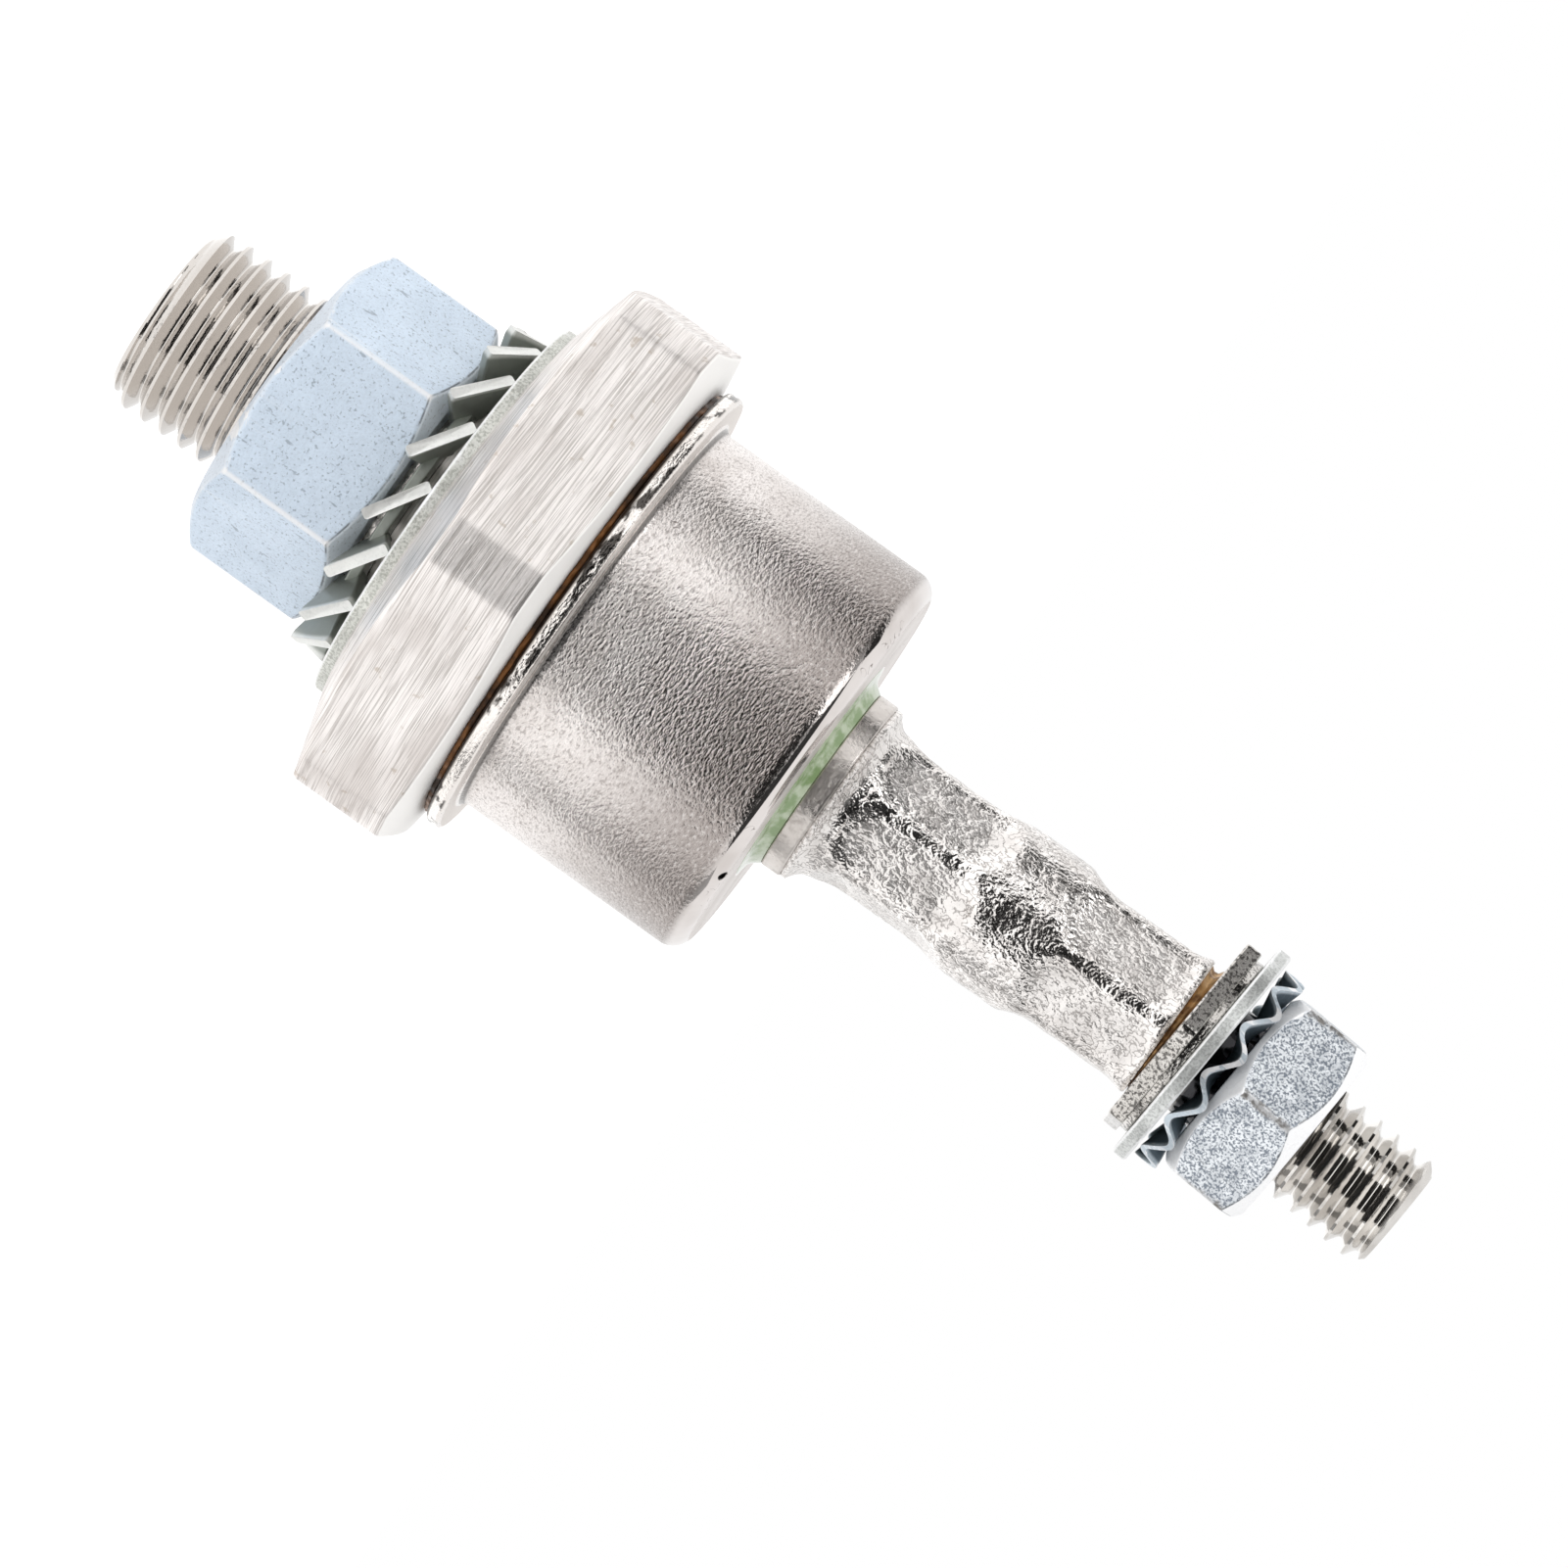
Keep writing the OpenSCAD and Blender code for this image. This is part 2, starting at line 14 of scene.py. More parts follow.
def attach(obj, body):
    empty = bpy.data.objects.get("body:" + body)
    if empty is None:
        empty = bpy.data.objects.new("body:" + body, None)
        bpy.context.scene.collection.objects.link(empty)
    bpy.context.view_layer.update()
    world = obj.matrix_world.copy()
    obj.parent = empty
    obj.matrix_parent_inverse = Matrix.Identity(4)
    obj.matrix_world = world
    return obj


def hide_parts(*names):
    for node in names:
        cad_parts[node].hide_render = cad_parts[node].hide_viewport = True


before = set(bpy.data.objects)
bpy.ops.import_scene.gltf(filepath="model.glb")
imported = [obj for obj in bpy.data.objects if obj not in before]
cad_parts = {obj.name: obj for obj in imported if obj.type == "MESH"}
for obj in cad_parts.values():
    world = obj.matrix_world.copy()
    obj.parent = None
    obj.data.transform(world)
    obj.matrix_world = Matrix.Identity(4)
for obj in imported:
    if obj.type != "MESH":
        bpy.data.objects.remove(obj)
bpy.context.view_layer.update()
MM = 0.001
MERGE, SLIVER = 1e-4, 1e-5

# Steps round the axis, and rows along a piece
ROUND_STEPS, FINE_STEPS, BASE_STEPS, SLEEVE_STEPS, WAVE_STEPS = 192, 360, 480, 240, 32
CAN_STEPS, PIT_STEPS, CAN_ARC_STEPS = 300, 61, 36
SLEEVE_ROWS, FOOT_ROWS, TOOTH_ROWS = 150, 14, 18

# Camera
IMAGE_PX = 1601
PX_PER_MM = 22.2
TARGET = Vector((1.17, 0, 19.5))
CAMERA_DISTANCE = 450
CAMERA_LIFT = 2.6
CAMERA_ROLL = 35.55
SENSOR = 36

# Mounting stud and hex base
STUD_R, STUD_PITCH, STUD_TIP_Z, STUD_CHAMFER = 4.75, 1.058, -16.5, 0.7
BASE_AF, BASE_ROUND_R, BASE_TOP, BASE_TURN = 27, 14.95, 6.7, 4
SEAT_R, SEAT_SLOPE, BASE_TOP_R, TOP_SLOPE = 10.6, 17, 11.45, 9.5
PEDESTAL_R, PEDESTAL_TOP = 8, 7.6
THREAD_CUT, THREAD_GAP = 0.325, 0.02

# Stud hardware
WASHER_R, WASHER_BORE, WASHER_T, WASHER_EDGE = 10.1, 5, 0.7, 0.14
TOOTH_N, TOOTH_R, TOOTH_FROM, TOOTH_FULL = 16, 8.95, 6.55, 8.45
TOOTH_W, TOOTH_ROOT_W, TOOTH_T, TOOTH_TWIST, TOOTH_TURN = 3.35, 1.7, 0.55, 32, 6
LOCK_RING_R, LOCK_Z = 6.9, -1.8208
NUT_AF, NUT_LOW, NUT_HIGH, NUT_TURN = 14.29, -10.0592, -2.5592, 32.5
NUT_FACE, NUT_SINK, NUT_SLOPE = 0.95, 0.35, 30

# Can and seal
WELD_R, WELD_IN, FLANGE_LOW = 11.7, 8.2, 7.0
FLANGE_R, FLANGE_HIGH, FLANGE_FILLET = 12.1, 7.8, 0.5
CAN_R, CAN_TOP, SHOULDER = 10.4, 20.15, 1.1
CAN_IN, CAN_ROOF = 9.7, 19.15
PIT_R, PIT_TURN, PIT_Z, PIT_SIZE, PIT_DEPTH = 9.795, -51, 20.04, 0.28, 0.17
GLASS_R, GLASS_LOW, GLASS_HIGH = 5.8, 18.55, 20.75
COLLAR_R, EYELET_R, EYELET_BORE, EYELET_LOW, COLLAR_TOP = 4.75, 3.6, 2.6, 17.75, 21.8

# Sleeve
SLEEVE_R, SLEEVE_TOP, FOOT_R, FOOT_H = 3.965, 40.4, 4.675, 1.2
LOWER_AF, LOWER_FROM, LOWER_TO, LOWER_TURN = 6.85, 24.6, 28.35, -10
UPPER_AF, UPPER_FROM, UPPER_TO, UPPER_TURN = 6.88, 35.2, 39.0, -1
CRIMP_RUN, RIDGE_R, RIDGE_RUN = 3.2, 3.8, 0.8
LEAD_R, BULGE_R, SHANK_R = 2.35, 2.9, 2.3
LEAD_END, SHANK_LOW = 29.8, 34.6

# Terminal, measured along its leaning axis from the foot of the hex flange
TERM_FOOT, TERM_TILT = 40.7202, 4.2
BRAZE_R = 3.25
HEX_AF, HEX_T, HEX_TURN, STEP_R, STEP_T = 10.05, 1.25, -5, 4.95, 0.42
TERM_WASHER_R, TERM_BORE, TERM_WASHER_TOP = 6.025, 3.2, 2.0
WAVE_MID, WAVE_R, WAVE_RIM, WAVE_T = 2.725, 5.45, 0.5, 0.32
WAVE_AMP, WAVE_START, WAVE_RISE, WAVE_N, WAVE_TURN = 0.565, 0.25, 0.375, 12, 7.5
TERM_NUT_AF, TERM_NUT_LOW, TERM_NUT_HIGH, TERM_NUT_TURN = 9.75, 3.2163, 7.7163, 1.5
TERM_NUT_FACE, TERM_NUT_SLOPE = 0.92, 38
TERM_R, TERM_PITCH, TERM_END, TERM_CHAMFER = 2.95, 1, 13.3163, 0.5

TILT = Matrix.Translation((0, 0, TERM_FOOT)) @ Matrix.Rotation(math.radians(TERM_TILT), 4, "Y")
LEAN = math.tan(math.radians(TERM_TILT))


# Mesh building

def turns(n):
    """Angles right round, with the first repeated at the end so that a grid closes on itself."""
    return np.linspace(0, 2 * math.pi, n + 1)


def grid(theta, rows):
    """Points of rows of (radius, height), each a number or one value per angle."""
    out = []
    for r, z in rows:
        r, z = np.broadcast_to(r, theta.shape), np.broadcast_to(z, theta.shape)
        out.append(np.stack([r * np.cos(theta), r * np.sin(theta), z], -1))
    return np.array(out)


def make(name, grids, place=None, sharp=38):
    """One mesh from grids of points; points that coincide are merged."""
    mesh = bpy.data.meshes.new(name)
    verts, faces, base = [], [], 0
    for g in grids:
        m, n = g.shape[:2]
        index = base + np.arange(m * n).reshape(m, n)
        quads = np.stack([index[:-1, :-1], index[:-1, 1:], index[1:, 1:], index[1:, :-1]], -1)
        verts.append(g.reshape(-1, 3))
        faces.append(quads.reshape(-1, 4))
        base += m * n
    mesh.from_pydata(np.concatenate(verts).tolist(), [], np.concatenate(faces).tolist())
    bm = bmesh.new()
    bm.from_mesh(mesh)
    bmesh.ops.remove_doubles(bm, verts=bm.verts, dist=MERGE)
    bmesh.ops.dissolve_degenerate(bm, dist=SLIVER, edges=bm.edges)
    bmesh.ops.recalc_face_normals(bm, faces=bm.faces)
    bm.to_mesh(mesh)
    bm.free()
    if place is not None:
        mesh.transform(place)
    mesh.transform(Matrix.Scale(MM, 4))
    mesh.shade_smooth()
    mesh.set_sharp_from_angle(angle=math.radians(sharp))
    obj = bpy.data.objects.new(name, mesh)
    bpy.context.scene.collection.objects.link(obj)
    return obj


def rounded(theta, corners, loop=False, steps=5):
    """Rows through corners of (radius, height, rounding), with a true arc at each rounded corner.

    A row just outside each arc keeps the shading of the flats beside it flat.
    """
    guard, arc_share, guard_share = 1.2, 0.48, 0.495
    pts = [np.stack(np.broadcast_arrays(r, z, theta)[:2], -1).astype(float) for r, z, _ in corners]
    count = len(pts)
    rows = []
    for i, (_, _, size) in enumerate(corners):
        here = pts[i]
        if size == 0 or (not loop and i in (0, count - 1)):
            rows.append(here)
            continue
        before, after = pts[i - 1] - here, pts[(i + 1) % count] - here
        len_a = np.linalg.norm(before, axis=-1, keepdims=True)
        len_b = np.linalg.norm(after, axis=-1, keepdims=True)
        a, b = before / len_a, after / len_b
        half = np.arccos(np.clip(-(a * b).sum(-1, keepdims=True), -1, 1)) / 2
        cut = np.minimum(size * np.tan(half), arc_share * np.minimum(len_a, len_b))
        weight = np.cos(half)
        rows.append(here + a * np.minimum(guard * cut, guard_share * len_a))
        for t in np.linspace(0, 1, steps + 1):
            p, q, s = (1 - t) ** 2, 2 * t * (1 - t) * weight, t * t
            rows.append((p * (here + cut * a) + q * here + s * (here + cut * b)) / (p + q + s))
        rows.append(here + b * np.minimum(guard * cut, guard_share * len_b))
    if loop:
        rows.append(rows[0])
    return [(row[:, 0], row[:, 1]) for row in rows]


def hexagon(theta, af, turn, crisp=140):
    """Radius of a hexagon with a corner at turn - 90 and slightly rounded corners."""
    total = 0
    for k in range(6):
        c = np.cos(theta - math.radians(turn - 60 + 60 * k))
        total = total + np.maximum(c, 0) ** crisp
    return af / 2 / total ** (1 / crisp)


def least(a, b, crisp=200):
    """The smaller of two lengths with a soft change from one to the other."""
    low = np.minimum(a, b)
    return low * ((low / a) ** crisp + (low / b) ** crisp) ** (-1 / crisp)


def thread(theta, r, pitch, low, high, cap_low=None, cap_high=None):
    """Right-hand helical thread as rows that follow the helix, cut flat at both ends.

    Widths are shares of the pitch, and half lists the rows from the middle of a crest to the root.
    """
    crest, flank, depth = 0.07, 0.24, 0.58
    root = 0.5 - crest - flank
    steep = depth * pitch / (flank + root / 2)
    half = np.array([0, 0.045, crest, 0.13, 0.19, 0.25, crest + flank, 0.35, 0.39, 0.43, 0.465])
    steps = np.concatenate([half, [0.5], 1 - half[:0:-1]])
    count = int(math.ceil((high - low) / pitch)) + 2
    starts = (np.arange(count)[:, None] - 1 + steps[None, :]).ravel() * pitch + low
    rows = []
    for s in starts:
        z = np.clip(s + pitch * theta / (2 * math.pi), low, high)
        phase = ((z - low) / pitch - theta / (2 * math.pi)) % 1
        away = np.minimum(phase, 1 - phase)
        bowl = np.clip(away - crest - flank, 0, root)
        radius = r - steep * (np.clip(away - crest, 0, flank) + bowl - bowl ** 2 / (2 * root))
        if cap_low:
            radius = np.minimum(radius, cap_low(z))
        if cap_high:
            radius = np.minimum(radius, cap_high(z))
        rows.append((radius, z))
    return rows


def ripple(points, size, amount, seed):
    """Smooth random shift at each point, from -amount to amount, with lumps of the given size."""
    flat = points.reshape(-1, 3)
    values = [noise.noise(Vector(p) / size + Vector((seed, -seed, seed * 2))) for p in flat]
    return amount * np.array(values).reshape(points.shape[:-1])


def swell(points, size, amount, seed):
    """Points moved along their radius by a smooth random amount."""
    r = np.maximum(np.hypot(points[..., 0], points[..., 1]), 1e-6)
    scale = 1 + ripple(points, size, amount, seed) / r
    scale[:, -1] = scale[:, 0]
    out = points.copy()
    out[..., :2] *= scale[..., None]
    return out


def dress(obj, node, material):
    """Puts a piece in the place of its node."""
    obj.data.materials.clear()
    obj.data.materials.append(material)
    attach(obj, "root")
    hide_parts(node)


# Pieces

def end_face(r, z):
    """Rows of a flat end, from the middle out."""
    return [(0, z), (r * 0.6, z), (r * 0.95, z), (r, z)]


def build_stud_base():
    theta = turns(BASE_STEPS)
    hexa = least(hexagon(theta, BASE_AF, BASE_TURN), BASE_ROUND_R, 400)
    low = (hexa - SEAT_R) * math.tan(math.radians(SEAT_SLOPE))
    high = BASE_TOP - (hexa - BASE_TOP_R) * math.tan(math.radians(TOP_SLOPE))
    nut_r = STUD_R - THREAD_CUT * STUD_PITCH
    sink = NUT_LOW + NUT_SINK
    tip = thread(theta, STUD_R, STUD_PITCH, STUD_TIP_Z, sink,
                 cap_low=lambda z: STUD_R - STUD_CHAMFER + (z - STUD_TIP_Z))
    face = end_face(tip[0][0], STUD_TIP_Z)
    neck = [(tip[-1][0], sink), (nut_r, sink), (nut_r, NUT_HIGH), (STUD_R, NUT_HIGH), (STUD_R, 0)]
    body = rounded(theta, [
        (STUD_R, 0, 0), (SEAT_R, 0, 0.2), (hexa, low, 0.25), (hexa, high, 0.22),
        (BASE_TOP_R, BASE_TOP, 0.2), (PEDESTAL_R, BASE_TOP, 0), (PEDESTAL_R, PEDESTAL_TOP, 0.1),
        (0, PEDESTAL_TOP, 0)])
    return make("stud_base_look", [grid(theta, rows) for rows in (face, tip, neck, body)])


def build_ring(name, r_out, r_in, low, high, edge, place=None):
    theta = turns(ROUND_STEPS)
    rows = rounded(theta, [(r_in, low, edge / 2), (r_out, low, edge), (r_out, high, edge),
                           (r_in, high, edge / 2)], loop=True)
    return make(name, [grid(theta, rows)], place)


def build_nut(name, af, low, high, turn, bore, share, slope, place=None):
    theta = turns(FINE_STEPS)
    hexa = hexagon(theta, af, turn)
    face = af / 2 * share
    rise = (hexa - face) * math.tan(math.radians(slope))
    rows = rounded(theta, [
        (bore, low + NUT_SINK, 0), (bore + NUT_SINK, low, 0.06), (face, low, 0.2),
        (hexa, low + rise, 0.3), (hexa, high - rise, 0.3), (face, high, 0.2),
        (bore + NUT_SINK, high, 0.06), (bore, high - NUT_SINK, 0)], loop=True)
    return make(name, [grid(theta, rows)], place)


def tooth_section(x, wide, thick, twist):
    """Rounded rectangle across a tooth at distance x, turned about the tooth's own length."""
    corner = 0.14
    pts = []
    for sy, sz, start in ((1, 1, 0), (-1, 1, 90), (-1, -1, 180), (1, -1, 270)):
        for a in np.radians(np.linspace(start, start + 90, 5)):
            pts.append((sy * (wide / 2 - corner) + corner * math.cos(a),
                        sz * (thick / 2 - corner) + corner * math.sin(a)))
    pts.append(pts[0])
    y, z = np.array(pts).T
    c, s = math.cos(twist), math.sin(twist)
    return np.stack([np.full_like(y, x), y * c - z * s, y * s + z * c], -1)


def build_lock_washer():
    root_lap, tip_waver, waver_size = 0.2, 0.02, 0.9
    theta = turns(ROUND_STEPS)
    half, edge = TOOTH_T / 2, 0.1
    ring = rounded(theta, [(WASHER_BORE, -half, edge), (LOCK_RING_R, -half, edge),
                           (LOCK_RING_R, half, edge), (WASHER_BORE, half, edge)], loop=True)
    grids = [grid(theta, ring)]
    stations = np.linspace(TOOTH_FROM - root_lap, TOOTH_R, TOOTH_ROWS)
    for i in range(TOOTH_N):
        turn = math.radians(TOOTH_TURN + i * 360 / TOOTH_N - 90)
        c, s = math.cos(turn), math.sin(turn)
        spin = np.array([[c, s, 0], [-s, c, 0], [0, 0, 1]])
        rows = []
        for x in stations:
            grow = np.clip((x - TOOTH_FROM) / (TOOTH_FULL - TOOTH_FROM), 0, 1)
            wide = TOOTH_ROOT_W + (TOOTH_W - TOOTH_ROOT_W) * grow
            rows.append(tooth_section(x, wide, TOOTH_T, -math.radians(TOOTH_TWIST)))
        rows = np.array(rows)
        reach = TOOTH_R - tip_waver * ripple(rows[-1:], waver_size, 1, i)[0]
        tip = rows[-1].copy()
        tip[:, 0] = np.sqrt(np.maximum(reach ** 2 - tip[:, 1] ** 2, 1))
        rows[-1] = tip
        for k in range(len(stations)):
            rows[k][:, 0] = np.minimum(rows[k][:, 0], tip[:, 0])
        ends = [np.repeat(rows[:1].mean(1, keepdims=True), rows.shape[1], 1), rows,
                np.repeat(rows[-1:].mean(1, keepdims=True), rows.shape[1], 1)]
        grids.append(np.concatenate(ends) @ spin)
    return make("stud_lock_washer_look", grids, Matrix.Translation((0, 0, LOCK_Z)))


def build_weld_ring():
    theta = turns(FINE_STEPS)
    rows = rounded(theta, [(WELD_IN, BASE_TOP, 0), (WELD_R, BASE_TOP, 0.1), (WELD_R, FLANGE_LOW, 0.1),
                           (WELD_IN, FLANGE_LOW, 0)], loop=True)
    return make("weld_ring_look", [swell(grid(theta, rows), size=0.5, amount=0.12, seed=3)])


def build_can():
    fine_turn, lean_out, lean_up, rim_from = 2.4, 0.45, 0.89, CAN_R + 0.5
    front = np.radians(PIT_TURN + np.linspace(-fine_turn, fine_turn, PIT_STEPS))
    rest = np.linspace(front[-1], front[0] + 2 * math.pi, CAN_STEPS)
    theta = np.concatenate([front, rest[1:]])
    rows = rounded(theta, [
        (CAN_IN, FLANGE_LOW, 0), (FLANGE_R, FLANGE_LOW, 0.25), (FLANGE_R, FLANGE_HIGH, 0.25),
        (CAN_R, FLANGE_HIGH, FLANGE_FILLET), (CAN_R, CAN_TOP, SHOULDER), (GLASS_R, CAN_TOP, 0.15),
        (GLASS_R, CAN_ROOF, 0), (CAN_IN, CAN_ROOF, 0)], loop=True, steps=CAN_ARC_STEPS)
    pts = grid(theta, rows)
    rim = np.hypot(pts[..., 0], pts[..., 1]) > rim_from
    pts = np.where(rim[..., None], swell(pts, size=1.6, amount=0.04, seed=5), pts)
    turn = math.radians(PIT_TURN)
    pit = np.array([PIT_R * math.cos(turn), PIT_R * math.sin(turn), PIT_Z])
    away = np.linalg.norm(pts - pit, axis=-1) / PIT_SIZE
    inward = -np.array([lean_out * math.cos(turn), lean_out * math.sin(turn), lean_up])
    pts = pts + PIT_DEPTH * np.clip(1 - away ** 2, 0, 1)[..., None] * inward
    return make("can_look", [pts])


def build_glass():
    """Ring of glass that creeps up the collar."""
    creep_r, creep_rise = COLLAR_R + 0.35, 0.12
    theta = turns(ROUND_STEPS)
    rows = rounded(theta, [
        (EYELET_R, GLASS_LOW, 0), (GLASS_R, GLASS_LOW, 0.1), (GLASS_R, CAN_TOP, 0.05),
        (creep_r, CAN_TOP + creep_rise, 0.5), (COLLAR_R, GLASS_HIGH, 0.05), (EYELET_R, GLASS_HIGH, 0)],
        loop=True)
    return make("glass_seal_look", [grid(theta, rows)])


def build_eyelet():
    theta = turns(ROUND_STEPS)
    rows = rounded(theta, [
        (EYELET_BORE, EYELET_LOW, 0.1), (EYELET_R, EYELET_LOW, 0.1), (EYELET_R, GLASS_HIGH, 0),
        (COLLAR_R, GLASS_HIGH, 0.1), (COLLAR_R, COLLAR_TOP, 0.14), (EYELET_BORE, COLLAR_TOP, 0)],
        loop=True)
    return make("eyelet_look", [grid(theta, rows)])


def crimp_depth(z, af, low, high):
    """Distance of a crimp flat from the axis at a height, with curved run-outs."""
    off = np.clip(np.maximum(low - z, z - high), 0, CRIMP_RUN)
    return af / 2 + CRIMP_RUN - np.sqrt(CRIMP_RUN ** 2 - off ** 2)


def build_sleeve():
    """Round tube on a flared foot, with the two crimps blended in by a power mean."""
    foot_rim, flare_power, blend, lip, lip_round = 0.22, 2.4, 90, 0.25, 2.4
    theta = turns(SLEEVE_STEPS)
    heights = COLLAR_TOP + FOOT_H + np.linspace(0, 1, SLEEVE_ROWS) * (SLEEVE_TOP - COLLAR_TOP - FOOT_H)
    flare = FOOT_R - SLEEVE_R
    foot = [(FOOT_R - 0.03, COLLAR_TOP), (FOOT_R, COLLAR_TOP + 0.05)]
    for t in np.linspace(foot_rim, 1, FOOT_ROWS)[:-1]:
        run = (t - foot_rim) / (1 - foot_rim)
        foot.append((SLEEVE_R + flare * (1 - run) ** flare_power, COLLAR_TOP + FOOT_H * t))
    rows = []
    for z in heights:
        total = np.full_like(theta, (1 / SLEEVE_R) ** blend)
        for af, low, high, turn in ((LOWER_AF, LOWER_FROM, LOWER_TO, LOWER_TURN),
                                    (UPPER_AF, UPPER_FROM, UPPER_TO, UPPER_TURN)):
            flat = crimp_depth(z, af, low, high)
            off = max(low - z, z - high, 0)
            ridge = RIDGE_R + (SLEEVE_R - RIDGE_R) * min(off / RIDGE_RUN, 3)
            total = total + (1 / ridge) ** blend
            for k in range(6):
                c = np.maximum(np.cos(theta - math.radians(turn + 60 * k)), 0)
                total = total + (c / flat) ** blend
        edge = max(0, z - (SLEEVE_TOP - lip))
        rows.append((total ** (-1 / blend) - edge * edge * lip_round, z))
    dents = swell(grid(theta, foot + rows), size=1.1, amount=0.05, seed=11)
    outside = swell(dents, size=0.35, amount=0.018, seed=12)
    inside = [(LEAD_R, COLLAR_TOP), (LEAD_R, LEAD_END), (BULGE_R, LEAD_END), (BULGE_R, SHANK_LOW),
              (SHANK_R, SHANK_LOW), (SHANK_R, SLEEVE_TOP)]
    top, bottom = outside[-1:], outside[:1]
    bore = grid(theta, inside)
    return make("sleeve_look", [outside, bore, np.concatenate([top, bore[-1:]]),
                                np.concatenate([bottom, bore[:1]])])


def build_braze():
    """Fills the wedge between the sleeve and the leaning flange; t runs from one to the other."""
    theta = turns(ROUND_STEPS)
    profile = ((SHANK_R, 0), (BRAZE_R + 0.25, 0), (BRAZE_R + 0.05, 0.35), (BRAZE_R + 0.05, 0.7),
               (BRAZE_R + 0.3, 1), (SHANK_R, 1))
    rows = []
    for r, t in profile:
        top = TERM_FOOT - r * np.cos(theta) * LEAN
        rows.append((r, SLEEVE_TOP + t * (top - SLEEVE_TOP)))
    rows.append(rows[0])
    return make("sleeve_braze_look", [swell(grid(theta, rows), size=0.6, amount=0.1, seed=21)], sharp=60)


def build_terminal_stud():
    theta = turns(FINE_STEPS)
    hexa = hexagon(theta, HEX_AF, HEX_TURN)
    nut_r = TERM_R - THREAD_CUT * TERM_PITCH
    start = TERM_NUT_HIGH - NUT_SINK
    shelf = HEX_T - STEP_T
    tip = thread(theta, TERM_R, TERM_PITCH, start, TERM_END,
                 cap_high=lambda u: TERM_R - TERM_CHAMFER + (TERM_END - u))
    flange = rounded(theta, [
        (SHANK_R, 0, 0), (hexa, 0, 0.1), (hexa, shelf, 0.1), (STEP_R - 0.02, shelf, 0),
        (STEP_R, HEX_T, 0.1), (TERM_R, HEX_T, 0)])
    neck = [(TERM_R, HEX_T), (TERM_R, TERM_NUT_LOW), (nut_r, TERM_NUT_LOW), (nut_r, start),
            (tip[0][0], start)]
    face = end_face(tip[-1][0], TERM_END)[::-1]
    parts = [grid(theta, rows) for rows in (flange, neck, tip, face)]
    turn = np.array(TILT)
    parts = [p @ turn[:3, :3].T + turn[:3, 3] for p in parts]
    shank = grid(theta, [(0, SHANK_LOW), (SHANK_R - 0.2, SHANK_LOW), (SHANK_R, SHANK_LOW + 0.2),
                         (SHANK_R, SLEEVE_TOP)])
    return make("terminal_stud_look", [np.concatenate([shank, parts[0][:1]]), *parts])


def wave(u):
    """Height of the wave at turns u, with a short rise and a long return."""
    u = u % 1
    return np.where(u < WAVE_RISE, u / WAVE_RISE * 2 - 1, 1 - (u - WAVE_RISE) / (1 - WAVE_RISE) * 2)


def build_wavy_washer():
    """Washer whose waves grow from its bore to its rim, with their bends rounded by averaging."""
    blur, samples, regain = 0.15, 11, 1.2
    theta = turns(WAVE_N * WAVE_STEPS)
    turn = (theta - math.radians(WAVE_TURN)) / (2 * math.pi) * WAVE_N
    smooth = sum(wave(turn + d) for d in np.linspace(-blur, blur, samples)) / samples * regain
    rim = TERM_BORE + WAVE_RIM
    rows = []
    section = rounded(theta, [
        (TERM_BORE, -1, 0.05), (rim, -1, 0), (WAVE_R, -1, 0.1), (WAVE_R, 1, 0.1), (rim, 1, 0),
        (TERM_BORE, 1, 0.05)], loop=True)
    for r, side in section:
        swing = np.interp(r, [TERM_BORE, rim, WAVE_R], [0, WAVE_START, 1])
        rows.append((r, WAVE_MID + side * WAVE_T / 2 + WAVE_AMP * swing * smooth))
    return make("terminal_lock_washer_look", [grid(theta, rows)], TILT)


# Materials

def rgb(r, g, b):
    """Linear colour from 8-bit display values."""
    out = []
    for v in (r, g, b):
        v /= 255
        out.append(v / 12.92 if v <= 0.04045 else ((v + 0.055) / 1.055) ** 2.4)
    return (*out, 1)


